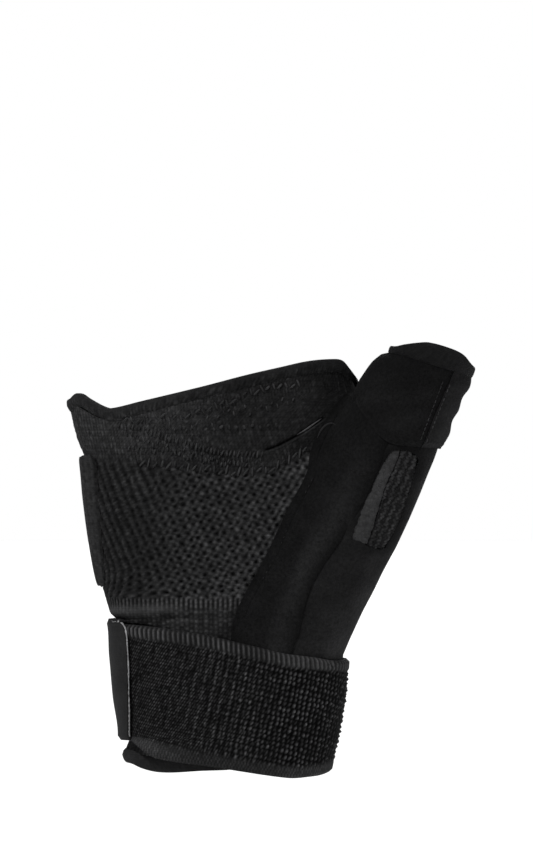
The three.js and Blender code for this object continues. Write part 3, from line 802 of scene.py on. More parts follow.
# Open dimples in leaning rows, the yarn round them, and at the left only the leaning columns
def meshRelief(s, z, left):
    ax, az = sleeve["dimpleAlong"]
    bx, bz = sleeve["dimpleAcross"]
    whole = ax * bz - az * bx
    swept = s + left * 0.08 / mm * np.clip(meshBottom + 11 * mm - z, 0, 11 * mm) ** 2
    sx = swept + 0.3 * mm * wobble(s, z, 3, 6 * mm)
    sz = z + 0.3 * mm * wobble(s, z, 4, 5 * mm)
    i = (sx * bz - sz * bx) / whole
    j = (ax * sz - az * sx) / whole
    di = i - np.round(i) + 0.36 * (cellDraw(i, j, 1) - 0.5)
    dj = j - np.round(j) + 0.3 * (cellDraw(i, j, 2) - 0.5)
    dx, dz = di * ax + dj * bx, di * az + dj * bz
    girth = 0.72 + 0.5 * cellDraw(i, j, 3)
    hole = np.exp(-((dx / sleeve["dimpleWidth"]) ** 2 + (dz / sleeve["dimpleHeight"]) ** 2) / girth ** 2)
    hole = hole * (0.75 + 0.35 * cellDraw(i, j, 4))
    aside = np.abs(j - np.floor(j) - 0.5) * np.hypot(bx, bz)
    leg = np.exp(-(aside / (0.6 * mm)) ** 2) * (0.5 + 0.5 * np.cos(2 * math.pi * i))
    leg = leg * (0.6 + 0.8 * cellDraw(i, j + 0.5, 5))
    bridge = np.exp(-((np.abs(i - np.floor(i) - 0.5) * 2.25 * mm) / (0.5 * mm)) ** 2)
    bridge = bridge * (0.3 + 1.3 * cellDraw(i + 0.5, j, 6)) * (0.5 + 0.5 * np.cos(2 * math.pi * j))
    column = 0.5 - 0.5 * np.cos(2 * math.pi * j)
    purl = 0.5 + 0.5 * np.cos(2 * math.pi * (2 * i + 0.5 * cellDraw(0 * i, j, 7)))
    openness = 1 - 0.55 * left
    height = -sleeve["dimpleDepth"] * openness * hole
    height = height + sleeve["strandHeight"] * (openness * (leg + 0.5 * bridge) + left * (column + 0.4 * purl))
    speck = cellDraw(sx / (0.8 * mm), sz / (0.9 * mm), 12) - 0.5
    # raised legs, bridges and knots painted lighter: painted highlight
    tone = (0.2 + 0.85 * leg + 0.6 * bridge) * (1 + 0.7 * speck)
    knots = cellDraw(2 * i, j + 0.5, 34)
    plain = (0.17 + 0.22 * column + 0.42 * column * purl * knots) * (1 + 0.9 * speck)
    # the open dimples painted almost black: painted shade in the holes
    tone = (tone * (1 - left) + plain * left) * (1 - 0.97 * openness * np.clip(hole, 0, 1))
    return height, tone * (1 + 0.3 * (1 - step(meshBottom, meshBottom + 4 * mm, z)))


# The ribbed band above the strap, with a smooth fold at the ulnar side. Raised ribs and the fold are painted
# lighter, a painted highlight; lower down, towards the strap, the band is painted darker, painted shade
def ribRelief(s, z, x, side):
    drift = 0.12 * mm * wobble(s, z, 6, 7 * mm)
    rib = 0.5 + 0.5 * np.cos(2 * math.pi * (s + drift) / sleeve["ribPitch"])
    rung = 0.5 + 0.5 * np.cos(2 * math.pi * z / (1.5 * mm) + 6 * cellDraw(s / sleeve["ribPitch"], 0 * z, 9))
    under = 1 - step(50.6 * mm, 53 * mm, z)
    height = sleeve["ribHeight"] * rib * (0.8 + 0.2 * rung) * (1 - 0.5 * under)
    tone = 0.1 + 1.3 * rib ** 1.6 * (0.55 + 0.45 * rung)
    tone = tone * (0.75 + 0.5 * cellDraw(s / sleeve["ribPitch"], 0 * z, 13))
    # lower down the ribs are painted weaker and darker: painted shade towards the strap
    soft = (0.3 + 0.5 * rib * rung) * (0.5 + cellDraw(s / sleeve["ribPitch"], z / (1.2 * mm), 35))
    tone = tone * (1 - under) + soft * under
    if side < 0:
        # darker low on the right of the front: painted shade near the strap
        deep = step(-13 * mm, -3 * mm, x) * (1 - step(46.5 * mm, 49.5 * mm, z))
        peak = 0.4 * np.exp(-((x + 16 * mm) / (12 * mm)) ** 2)
        tone = tone * (1.05 + peak - 0.3 * step(-8 * mm, 6 * mm, x))
        tone = tone * (1 - 0.4 * deep)
    inFold = 1 - (step(-26 * mm, -12 * mm, x) if side < 0 else step(-36 * mm, -29 * mm, x))
    fromFold = z - 51 * mm - 0.04 * (x + 36 * mm)
    fold = inFold * np.exp(-(fromFold / (1.5 * mm)) ** 2)
    height = height * (1 - 0.75 * fold) + sleeve["foldHeight"] * fold
    # the fold painted light: painted highlight on the fold
    return height, tone * (1 - 0.8 * fold) + (1.1 + 0.3 * rib) * fold


# The close knit above the mesh: small tufts on fine upright ribs
def plainRelief(s, z):
    rib = 0.5 + 0.5 * np.cos(2 * math.pi * (s + 0.25 * z) / sleeve["plainPitch"])
    course = 0.5 + 0.5 * np.cos(2 * math.pi * z / (0.95 * mm) + math.pi * rib)
    drift = 0.5 * mm * wobble(s, z, 9, 6 * mm)
    i, j = (s + 0.2 * z + drift) / (1.15 * mm), (z + drift + 0.4 * mm * rib) / (1.9 * mm)
    j = j + 0.5 * cellDraw(i, 0 * j, 36)
    aside = ((i - np.round(i)) * 1.15 / 0.34) ** 2 + ((j - np.round(j)) * 1.9 / 0.7) ** 2
    tuft = np.exp(-aside) * cellDraw(i, j, 10) ** 1.5
    height = sleeve["plainHeight"] * (rib + 0.6 * course) + 0.22 * mm * tuft
    speck = cellDraw(s / (0.75 * mm), z / (0.8 * mm), 14) - 0.5
    # raised ribs and tufts painted lighter: painted highlight
    tone = (0.1 + 0.3 * rib * (0.5 + 0.5 * course) + 0.1 * course + 0.65 * tuft) * (1 + 0.4 * speck)
    tone = tone + 0.04 * wobble(s, z, 8, 7 * mm)
    return height, tone


# How far the knit stands out of the plain surface, and its tone, at any place of the front view
def sleeveRelief(x, z, s, side):
    left = 1 - step(-36 * mm, -10 * mm, x - 0.25 * (z - 75 * mm)) if side < 0 else 0.4 + 0 * x
    edge = 0.5 * mm * wobble(x, z, 11, 3 * mm)
    below = 1 - step(meshBottom - 0.6 * mm, meshBottom + 0.6 * mm, z + edge)
    above = step(-0.8 * mm, 1.6 * mm, z - meshTopAt(x) + 2 * edge)
    shares = (1 - below) * (1 - above), below, above
    reliefs = meshRelief(s, z, left), ribRelief(s, z, x, side), plainRelief(s, z)
    height = sum(share * relief[0] for share, relief in zip(shares, reliefs))
    tone = sum(share * relief[1] for share, relief in zip(shares, reliefs))
    if side < 0:
        fromPocket = pocketInnerAt(z) - x
        # In the knit above the mesh: darker to the right and within 12 mm of the pocket's inner edge, painted
        # shade in the hollow between the tubes; lighter at the upper left
        faded = 1 - 0.15 * step(-20 * mm, 8 * mm, x) - 0.3 * (1 - step(0, 12 * mm, fromPocket))
        faded = faded + (0.75 - 0.75 * step(-28 * mm, 6 * mm, x)) * step(95 * mm, 105 * mm, z)
        held = 1 - 0.25 * np.exp(-((x + 28 * mm) / (9 * mm)) ** 2) * (1 - step(78 * mm, 92 * mm, z))
        held = held + 0.35 * np.exp(-(fromPocket / (5 * mm)) ** 2)
        tone = tone * (held * (1 - above) + faded * above)
        aboveStrap = z - strapUpperAt(x)
        corner = (1 - step(-34 * mm, -20 * mm, x)) * step(-0.1 * mm, 0.5 * mm, aboveStrap)
        height = height + 2.1 * mm * corner * np.exp(-(np.clip(z - 48.2 * mm, 0, None) / (1.4 * mm)) ** 2)
        far, over, share = distanceTo(np.array(creaseLine) * mm, x, z)
        held = step(0, 0.12, share) * (1 - step(0.9, 1, share))
        signed = far * over
        # The crease's groove is painted dark, painted shade in the crease, and its lip light over part of its
        # length, a painted highlight
        groove = np.exp(-((signed - 0.1 * mm) / (0.36 * mm)) ** 2) * held
        lip = np.exp(-((signed + 0.55 * mm) / (0.26 * mm)) ** 2) * held
        height = height * (1 - 0.8 * groove) - sleeve["creaseDepth"] * groove + 0.35 * mm * lip
        highlightSpan = step(0.5, 0.66, share) * (1 - step(0.86, 0.95, share))
        tone = tone * (1 - groove) + lip * (0.1 + 0.2 * highlightSpan)
        soft = np.exp(-(far / (5 * mm)) ** 2)
        height = height + 0.5 * mm * soft * (0.5 - 0.5 * np.tanh(signed / (1.2 * mm))) * held
    height = height + 0.25 * mm * wobble(x, z, 5, 26 * mm)
    return height, tone


def sleeveUpper(x):
    notchX, notchZ = sleeve["notch"]
    rim = palmRimAt(x) - layers["palmHemHeight"] + sleeve["underHem"]
    overThumb = notchZ + (x - notchX) * acrossThumb[2] / acrossThumb[0]
    past = step(notchX - 3.5 * mm, notchX + 2.5 * mm, x)
    return rim * (1 - past) + overThumb * past


def panelEdgeAt(z):
    return pocketOuterAt(z) - 0.8 * mm


# Where the fine columns end on one side at a height
def sleeveCuts(z, side):
    if side < 0:
        return min(float(pocketInnerAt(z)) + sleeve["underPocket"], sleeve["notch"][0])
    return min(float(panelEdgeAt(z)) + sleeve["underPocket"], sleeve["notch"][0])


def buildSleeve():
    cuffLine = lambda x: cuffRimAt(x) + layers["cuffHemHeight"] - sleeve["underHem"]
    strapLine = lambda x: strapUpperAt(x) - sleeve["underStrap"]
    hidden = np.linspace(0, 1, sleeve["hiddenRows"] + 1)[:-1]
    fine = np.linspace(0, 1, sleeve["rows"] + 1)
    rowLines = [lambda x, v=v: (1 - v) * cuffLine(x) + v * strapLine(x) for v in hidden]
    rowLines += [lambda x, v=v: (1 - v) * strapLine(x) + v * sleeveUpper(x) for v in fine]
    base, arcs, reliefs, tones = [], [], [], []
    for rowZ in rowLines:
        ring, arc, relief, tone = [], [], [], []
        for side, counts in ((-1, sleeve["frontColumns"]), (1, sleeve["backColumns"])):
            z = float(rowZ(np.array([20 * mm]))[0])
            points, s = sideRow(rowZ, side, [sleeveCuts(z, side)], counts)
            s, turned = (s, s[-1]) if side < 0 else (turned + s[-1] - s, turned)
            height, shade = sleeveRelief(points[:, 0], points[:, 2], s, side)
            if side > 0:
                points, s, height, shade = points[::-1], s[::-1], height[::-1], shade[::-1]
            ring.append(points[:-1])
            arc.append(s[:-1])
            relief.append(height[:-1])
            tone.append(shade[:-1])
        base.append(np.concatenate(ring))
        arcs.append(np.concatenate(arc))
        reliefs.append(np.concatenate(relief))
        tones.append(np.concatenate(tone))
    base, arcs = np.array(base), np.array(arcs)
    relief, tone = np.array(reliefs), np.array(tones)
    normals = normalsAt(base)
    uv = np.stack([arcs, base[..., 2]], axis=-1)
    outer = base + normals * relief[..., None]
    rowStep, columnStep = sleeve["liningSteps"]
    inner = (base - normals * layers["wall"])[::rowStep, ::columnStep]
    return linedShell("palm_sleeve_knit", outer, inner, uv, tone, sleeve["liningSteps"], True)


thumbTube = {"columns": 60, "rows": 24, "overlap": 2 * mm}


# A band round a tube: its points, from its lower edge to its upper one
def ringGrid(pointAt, lowAt, highAt, turns, rows, growAt):
    share = np.linspace(0, 1, rows + 1)[:, None]
    turn = np.broadcast_to(turns, (rows + 1, len(turns)))
    low, high = lowAt(turns), highAt(turns)
    up = low + (high - low) * share
    return pointAt(up, turn, growAt(up, turn, share + 0 * turn)), up


def thumbAcross(turn, grow, along):
    cos = np.cos(turn)
    return cos * (np.where(cos < 0, thumbSize("inner", along), thumbSize("outer", along)) + grow)


# The height of an edge along the thumb tube, at any angle round it
def thumbLine(lineAt, grow, guess):
    def at(turn):
        along = np.full(np.shape(turn), guess)
        for _ in range(8):
            along = lineAt(thumbAcross(turn, grow, along))
        return along
    return at


def buildThumbTube():
    turns = np.linspace(0, 2 * math.pi, thumbTube["columns"], endpoint=False)
    notchX, notchZ = sleeve["notch"]
    level = float(inThumb(notchX, notchZ)[0]) - thumbTube["overlap"]
    high = thumbLine(thumbHemLineAt, 0, splint["thumbLength"])
    lowAt = lambda turn: level + 0 * turn
    highAt = lambda turn: high(turn) + sleeve["underHem"]
    outer, up = ringGrid(thumbPoint, lowAt, highAt, turns, thumbTube["rows"], lambda u, t, v: 0 * u)
    inner, _ = ringGrid(thumbPoint, lowAt, highAt, turns, thumbTube["rows"],
                        lambda u, t, v: -layers["wall"] + 0 * u)
    arc = np.broadcast_to(turns * 13 * mm, up.shape)
    uv = np.stack([arc, up], axis=-1)
    return linedShell("thumb_tube", outer, inner, uv, 0.4 + 0 * up, (1, 1), True)


sleeveKnit = joinPieces("palm_sleeve_knit", [buildSleeve(), buildThumbTube()])
smoothShade(sleeveKnit)
finishPiece(sleeveKnit, "sleeveKnit", ["palm_sleeve"])
print("sleeve knitted")

# Hems: rolled bands round the openings
hems = {
    "columns": 440,
    "rollSteps": 36,
    "crown": 0.25 * mm,
    "softEdge": 2.6 * mm,
    "thumbProud": 1.7 * mm,
}


# Heights and distances of a rolled band's section, as a closed loop with round corners
def rollProfile(steps, low, high, inside, outside, crown):
    angle = np.linspace(0, 2 * math.pi, steps, endpoint=False) - math.pi / 2
    square = 5
    c = np.sign(np.cos(angle)) * np.abs(np.cos(angle)) ** (2 / square)
    s = np.sign(np.sin(angle)) * np.abs(np.sin(angle)) ** (2 / square)
    up = (low + high) / 2 + (high - low) / 2 * s
    out = (inside + outside) / 2 + (outside - inside) / 2 * c
    return up, out + crown * np.clip(c, 0, 1) * np.cos(s * math.pi / 2)


# A band round an opening; downTo is the distance outside at its soft edge
def rolledBand(name, pointAt, lowAt, highAt, turns, inside, outside, uvScale, toneAt, downTo=0):
    columns = []
    uv = []
    tone = []
    for turn in turns:
        low, high = float(lowAt(np.array([turn]))[0]), float(highAt(np.array([turn]))[0])
        up, out = rollProfile(hems["rollSteps"], low, high, inside, outside, hems["crown"])
        fromEdge = (up - low) if downTo > 0 else (high - up)
        soft = (1 - step(0, hems["softEdge"], fromEdge)) * step(inside, outside, out)
        out = out - soft * (outside - abs(downTo))
        columns.append(pointAt(up, np.full(len(up), turn), out))
        uv.append(np.stack([np.full(len(up), turn * uvScale), up + (out - inside) * 0.5], axis=-1))
        height, shade = toneAt(columns[-1], up - low, turn)
        columns[-1] = pointAt(up, np.full(len(up), turn), out + height * step(inside, outside, out))
        tone.append(shade)
    points = np.array(columns).transpose(1, 0, 2)
    uv = np.array(uv).transpose(1, 0, 2)
    tone = np.array(tone).T
    points = np.concatenate([points, points[:1]])
    uv = np.concatenate([uv, uv[:1]])
    tone = np.concatenate([tone, tone[:1]])
    ob = addGrid(name, points, uv, tone, girth=2 * math.pi * uvScale)
    facesOut(ob)
    smoothShade(ob)
    return ob


def bodyX(z, turn, grow):
    return bodyPoint(z, turn, grow)[..., 0]


def bodyLine(lineAt, grow, guess):
    def at(turn):
        z = np.full(np.shape(turn), guess)
        for _ in range(8):
            z = lineAt(bodyX(z, turn, grow))
        return z
    return at


def buildPalmHem():
    turns = np.linspace(0, 2 * math.pi, hems["columns"], endpoint=False)
    rim = bodyLine(palmRimAt, layers["hemProud"], splint["bodyHeight"] * 0.95)
    lowAt = lambda turn: rim(turn) - layers["palmHemHeight"]

    def toneAt(points, up, turn):
        arc = turn * 35 * mm
        height, tone = plainRelief(arc, points[:, 2])
        bound = step(2.2 * mm, 3.2 * mm, up)
        weave = 0.55 + 0.3 * cellDraw(arc / (0.7 * mm), up / (0.6 * mm), 15)
        left = 1 + 0.6 * (1 - step(-28 * mm, 6 * mm, points[:, 0]))
        tone = (2.2 * tone * (1 - bound) + (0.7 * weave + 0.6 * tone) * bound) * left
        return height * (1 - 0.6 * bound), tone

    return rolledBand("palm_hem_band", bodyPoint, lowAt, rim, turns, -layers["wall"],
                      layers["hemProud"] - hems["crown"], 0.035, toneAt, 0.15 * mm)


def buildCuffHem():
    turns = np.linspace(0, 2 * math.pi, hems["columns"], endpoint=False)
    rim = bodyLine(cuffRimAt, layers["hemProud"], 3 * mm)
    highAt = lambda turn: rim(turn) + layers["cuffHemHeight"]
    toneAt = lambda points, up, turn: (0 * up, 0.95 + 0.4 * (cellDraw(turn * 45, up / (0.6 * mm), 16) - 0.5)
                                       - 0.35 * np.exp(-((points[:, 0] + 6 * mm) / (12 * mm)) ** 2)
                                       + 0.3 * step(10 * mm, 20 * mm, points[:, 0]))
    return rolledBand("cuff_hem_band", bodyPoint, rim, highAt, turns, -layers["wall"],
                      layers["hemProud"] - hems["crown"], 0.028, toneAt, -0.3 * mm)


def buildThumbHem():
    turns = np.linspace(0, 2 * math.pi, 120, endpoint=False)
    hemLine = thumbLine(thumbHemLineAt, hems["thumbProud"], splint["thumbLength"])
    low = lambda turn: hemLine(turn) - sleeve["underHem"]
    high = thumbLine(thumbRimAt, hems["thumbProud"], splint["thumbLength"])
    # lighter on the outer front side of the thumb: painted light on that side
    toneAt = lambda points, up, turn: (0 * up, 0.45 + 0.3 * max(0, math.cos(turn + 0.5)) ** 2
                                       + 0.25 * (cellDraw(turn * 22, up / (0.7 * mm), 17) - 0.5))
    return rolledBand("thumb_hem_band", thumbPoint, low, high, turns, -layers["wall"],
                      hems["thumbProud"] - hems["crown"], 0.013, toneAt, hems["thumbProud"])


palmHem = finishPiece(buildPalmHem(), "hemKnit", ["palm_hem"])
cuffHem = finishPiece(buildCuffHem(), "hemKnit", ["cuff_hem"])
thumbHem = finishPiece(buildThumbHem(), "hemKnit", ["thumb_hem"])
print("hems rolled")

# Wrist strap
strap = {
    "frontColumns": 384,
    "backColumns": 168,
    "rows": 150,
    "liningSteps": (6, 6),
    "wale": (1.45 * mm, -0.31 * mm),  # from one raised column to the next, along the cloth and up
    "course": (-0.31 * mm, -1.57 * mm),  # from one loop to the next below it
    "loopHeight": 0.7 * mm,
    "topStitch": 4 * mm,  # height of the tall stitches under the upper edge
    "topPitch": 1.5 * mm,
    "selvage": 3.2 * mm,
}


# How far the pieces under the strap stand out of the sleeve
def underHeight(x, z, side):
    edge = pocketOuterAt(z)
    overPanel = step(0, 1.5 * mm, x - edge) * panelTop
    if side > 0:
        return overPanel
    inner = pocketInnerAt(z)
    overPocket = step(-1 * mm, 0.5 * mm, x - inner) * (1 - step(0, 1.5 * mm, x - edge)) * palmarPocketTop
    return np.maximum(overPanel, overPocket)


# Raised loops in leaning columns, fine twill at the left, tall stitches above, a selvage below; the raised
# yarn is painted lighter than the ground, a painted highlight
def strapRelief(x, s, z, fromTop, fromBottom, side):
    wx, wz = strap["wale"]
    cx, cz = strap["course"]
    whole = wx * cz - wz * cx
    sx = s + 0.16 * mm * wobble(s, z, 21, 7 * mm)
    a = (sx * cz - z * cx) / whole
    b = (wx * z - wz * sx) / whole
    coarse = step(-24 * mm, 20 * mm, x) if side < 0 else 0.8 + 0 * x
    da = (a - np.round(a) + 0.24 * (cellDraw(a, b, 23) - 0.5)) * 1.48
    db = (b - np.round(b) + 0.3 * (cellDraw(a, b, 24) - 0.5) + 0.12 * np.sin(2 * math.pi * a)) * 1.6
    lean = 0.7 * (cellDraw(a, b, 39) - 0.65)
    knot = np.exp(-((da - lean * db) / 0.33) ** 2 - ((db + lean * da) / 0.5) ** 2)
    knot = knot * (0.3 + 1.05 * cellDraw(a, b, 25))
    fa, fb = 1.9 * a + 0.9 * b, 1.6 * b
    fine = np.exp(-(((fa - np.round(fa)) * 0.76) / 0.18) ** 2 - (((fb - np.round(fb)) * 0.98) / 0.34) ** 2)
    fine = fine * (0.1 + 1.2 * cellDraw(fa, fb, 26))
    columns = 0.5 + 0.5 * np.cos(2 * math.pi * (s - 0.24 * z) / (2.9 * mm) + 1.2 * wobble(s, z, 37, 9 * mm))
    middle = np.exp(-((x + 4 * mm) / (13 * mm)) ** 2) if side < 0 else 0 * x
    height = strap["loopHeight"] * coarse * (knot - 0.4) + 0.16 * mm * fine * (1 - 0.5 * coarse)
    ripple = 0.5 + 0.5 * wobble(s, 0.35 * z, 30, 5 * mm)
    tone = 1.8 * knot * (0.1 + 0.9 * coarse) + 1.65 * fine * (1 - 0.85 * coarse) * (0.6 + 0.5 * ripple)
    tone = 0.95 * tone * (1 + 1.2 * middle * (columns - 0.5))

    drift = 0.12 * mm * wobble(s, z, 27, 6 * mm)
    turn = (s + drift + 0.05 * z) / strap["topPitch"]
    rod = 0.5 + 0.5 * np.cos(2 * math.pi * turn)
    topBand = 1 - step(strap["topStitch"] * 0.8, strap["topStitch"] * 1.15, fromTop)
    lower = step(strap["topStitch"] * 0.02, strap["topStitch"] * 0.3, fromTop)
    lower = lower * (1 - 0.6 * step(strap["topStitch"] * 0.65, strap["topStitch"], fromTop))
    rodHeight = 0.5 * mm * rod * (0.4 + 0.6 * lower)
    rodTone = 0.2 + 1.3 * rod ** 2 * (0.35 + 0.65 * lower) * (0.6 + 0.7 * cellDraw(turn, 0 * turn, 28))
    faded = 0.6 * step(4 * mm, 26 * mm, x)
    rodTone = rodTone * (1 - faded) + (0.5 + 0.7 * rod) * faded
    height = height * (1 - topBand) + rodHeight * topBand
    rodTone = rodTone * (1 + 0.3 * (1 - step(-24 * mm, -14 * mm, x)) + 0.25 * step(14 * mm, 20 * mm, x))
    tone = tone * (1 - topBand) + rodTone * topBand

    edge = 1 - step(strap["selvage"] * 0.7, strap["selvage"] * 1.4, fromBottom)
    dash = 0.5 + 0.5 * np.cos(2 * math.pi * (s / (0.95 * mm) + 0.5 * np.round(fromBottom / (0.9 * mm))))
    dash = dash * (0.3 + cellDraw(s / (0.95 * mm), fromBottom / (0.9 * mm), 29))
    height = height * (1 - edge) + 0.16 * mm * dash * edge
    outwards = 0.75 + 0.6 * step(8 * mm, 25 * mm, np.abs(x)) + 0.25 * step(12 * mm, 24 * mm, x)
    tone = tone * (1 - edge) + (0.3 + 0.6 * dash) * edge * outwards
    # painted darker where x < -29 mm: painted shadow of the tab's edge on the strap
    return height, tone * (1 - 0.45 * (1 - step(0, 4 * mm, x + 33 * mm))) if side < 0 else tone


def buildWristStrap():
    share = np.linspace(0, 1, strap["rows"] + 1)
    base, arcs, heights, tones, fits = [], [], [], [], []
    for v in share:
        rowZ = lambda x, v=v: (1 - v) * strapLowerAt(x) + v * strapUpperAt(x)
        ring, arc, height, tone, fit = [], [], [], [], []
        for side, count in ((-1, strap["frontColumns"]), (1, strap["backColumns"])):
            points, s = sideRow(rowZ, side, [], [count])
            s, turned = (s, s[-1]) if side < 0 else (turned + s[-1] - s, turned)
            x, z = points[:, 0], points[:, 2]
            fromTop, fromBottom = strapUpperAt(x) - z, z - strapLowerAt(x)
            up, shade = strapRelief(x, s, z, fromTop, fromBottom, side)
            rounded = np.minimum(np.clip(fromTop, 0, None), np.clip(fromBottom, 0, None))
            up = up - 0.7 * mm * (1 - step(0, 0.9 * mm, rounded))
            under = underHeight(x, z, side) + layers["gap"]
            parts = (points, s, up, shade, under)
            if side > 0:
                parts = tuple(part[::-1] for part in parts)
            for store, part in zip((ring, arc, height, tone, fit), parts):
                store.append(part[:-1])
        for store, part in zip((base, arcs, heights, tones, fits), (ring, arc, height, tone, fit)):
            store.append(np.concatenate(part))
    base, arcs = np.array(base), np.array(arcs)
    height, tone, fit = np.array(heights), np.array(tones), np.array(fits)
    normals = normalsAt(base)
    outer = base + normals * (wristStrapTop - 0.25 * mm + height)[..., None]
    rowStep, columnStep = strap["liningSteps"]
    inner = (base + normals * fit[..., None])[::rowStep, ::columnStep]
    uv = np.stack([arcs, base[..., 2]], axis=-1)
    ob = linedShell("wrist_strap_knit", outer, inner, uv, tone, strap["liningSteps"], True)
    smoothShade(ob)
    return ob


wristStrap = finishPiece(buildWristStrap(), "strapKnit", ["wrist_strap"])
print("wrist strap knitted")


# Flat pieces that follow the sleeve
# How far along its row each point of a grid lies
def arcAlong(points):
    steps = np.linalg.norm(np.diff(points, axis=1), axis=2)
    return np.concatenate([np.zeros((len(points), 1)), np.cumsum(steps, axis=1)], axis=1)

# Flips a laid grid whose faces look into the sleeve
def turnOutwards(ob, points, normals):
    facing = np.cross(points[1:, :-1] - points[:-1, :-1], points[:-1, 1:] - points[:-1, :-1])
    if np.einsum("ijk,ijk->", facing, normals[:-1, :-1]) > 0:
        inEditMode(ob, bpy.ops.mesh.flip_normals)

# A piece of cloth lying on the sleeve: laid at its underside, then thickened and its edge rounded
def coverPiece(name, points, uv, tone, bottom, thickness, bevel):
    normals = normalsAt(points)
    ob = addGrid(name, points + normals * bottom[..., None], uv, tone)
    turnOutwards(ob, points, normals)
    return thicken(ob, thickness, bevel)


def thicken(ob, thickness, bevel):
    wall = ob.modifiers.new("wall", "SOLIDIFY")
    wall.thickness = thickness
    wall.offset = 1
    edge = ob.modifiers.new("edge", "BEVEL")
    edge.width = bevel
    edge.segments = 2
    edge.limit_method = "ANGLE"
    edge.angle_limit = math.radians(50)
    applyAll(ob)
    smoothShade(ob, 60)
    return ob


pocket = {
    "columns": 46,
    "rows": 150,
    "bottomZ": 33 * mm,
    "topBulge": 2.2 * mm,
    "stayCrown": 0.4 * mm,
    "seamInset": 3 * mm,
}


def buildPalmarPocket():
    u = np.linspace(0, 1, pocket["columns"] + 1)[None, :]
    v = np.linspace(0, 1, pocket["rows"] + 1)[:, None]
    topInner = palmarPocketInnerEdge[-1][1] * splint["bodyHeight"]
    topOuter = palmarPocketOuterEdge[-1][1] * splint["bodyHeight"]
    zInner = pocket["bottomZ"] + (topInner - pocket["bottomZ"]) * v
    zOuter = pocket["bottomZ"] + (topOuter - pocket["bottomZ"]) * v
    xInner, xOuter = pocketInnerAt(zInner), pocketOuterAt(zOuter)
    bulge = pocket["topBulge"] * v ** 8 * np.sin(math.pi * u)
    x = xInner + (xOuter - xInner) * u + bulge
    z = zInner + (zOuter - zInner) * u + bulge
    points = surfaceAt(x, z, -1)
    wide = np.hypot(xOuter - xInner, zOuter - zInner)
    fromInner, fromOuter = u * wide, (1 - u) * wide
    crown = pocket["stayCrown"] * np.exp(-((u - 0.5) / 0.26) ** 4)
    seam = np.exp(-((fromInner - pocket["seamInset"]) / (0.45 * mm)) ** 2)
    held = step(0.15, 0.3, v) * (1 - step(0.9, 1, v))
    lift = crown - 0.45 * mm * seam * held + 0.12 * mm * wobble(x, z, 31, 14 * mm)
    edge = 1 - step(0, 2.2 * mm, np.minimum(fromInner, fromOuter))
    # A lighter band over the pocket's rounded middle is painted light; its edges, the seam groove and the top
    # towards the notch are painted darker, painted shade
    tone = 0.46 + 0.55 * np.exp(-((u - 0.71) / 0.17) ** 2) * (1 - 0.8 * step(0.72, 0.95, v))
    tone = tone - 0.15 * seam * held
    tone = tone - 0.12 * edge - 0.12 * step(0.65, 0.85, v) + 0.1 * wobble(x, z, 32, 9 * mm)
    uv = np.stack([x, z], axis=-1)
    bottom = layers["gap"] + lift - 0.1 * mm
    return coverPiece("palmar_pocket_cloth", points, uv, tone, bottom, layers["palmarPocket"], 0.5 * mm)


palmarPocket = finishPiece(buildPalmarPocket(), "darkVelour", ["palmar_stay_pocket"])

panel = {
    "frontColumns": 70,
    "backColumns": 60,
    "rows": 190,
    "bottomZ": 33 * mm,
    "topAlong": 0.8,
    "snap": 0.3 * mm,
}


# Distance to a closed outline of the front view, below zero inside it, with its nearest point
def outlineDistance(outline, x, z):
    best = np.full(np.shape(x), 1e9)
    nearX, nearZ = np.zeros(np.shape(x)), np.zeros(np.shape(x))
    inside = np.zeros(np.shape(x), bool)
    for start, end in zip(outline, np.roll(outline, -1, axis=0)):
        way = end - start
        t = np.clip(((x - start[0]) * way[0] + (z - start[1]) * way[1]) / (way @ way), 0, 1)
        px, pz = start[0] + t * way[0], start[1] + t * way[1]
        far = np.hypot(x - px, z - pz)
        nearer = far < best
        best = np.where(nearer, far, best)
        nearX, nearZ = np.where(nearer, px, nearX), np.where(nearer, pz, nearZ)
        crosses = (start[1] > z) != (end[1] > z)
        rise = np.where(crosses, end[1] - start[1], 1)
        at = start[0] + (z - start[1]) / rise * (end[0] - start[0])
        inside = inside ^ (crosses & (x < at))
    return np.where(inside, -best, best), nearX, nearZ


def onThumb(rows):
    rows = np.asarray(rows, float)
    across = rows[:, :1] * splint["thumbWidth"]
    along = rows[:, 1:] * splint["thumbLength"]
    place = thumbStart + along * alongThumb + across * acrossThumb
    return place[:, [0, 2]]


# The outline as a smooth closed curve through its points
def roundOutline(points, steps=6):
    before, after, second = np.roll(points, 1, 0), np.roll(points, -1, 0), np.roll(points, -2, 0)
    t = np.linspace(0, 1, steps, endpoint=False)[:, None, None]
    curve = points + 0.5 * t * ((after - before) + t * (2 * before - 5 * points + 4 * after - second
                                                        + t * (3 * points - before - 3 * after + second)))
    return curve.transpose(1, 0, 2).reshape(-1, 2)


windowEdge = roundOutline(onThumb(windowOutline))


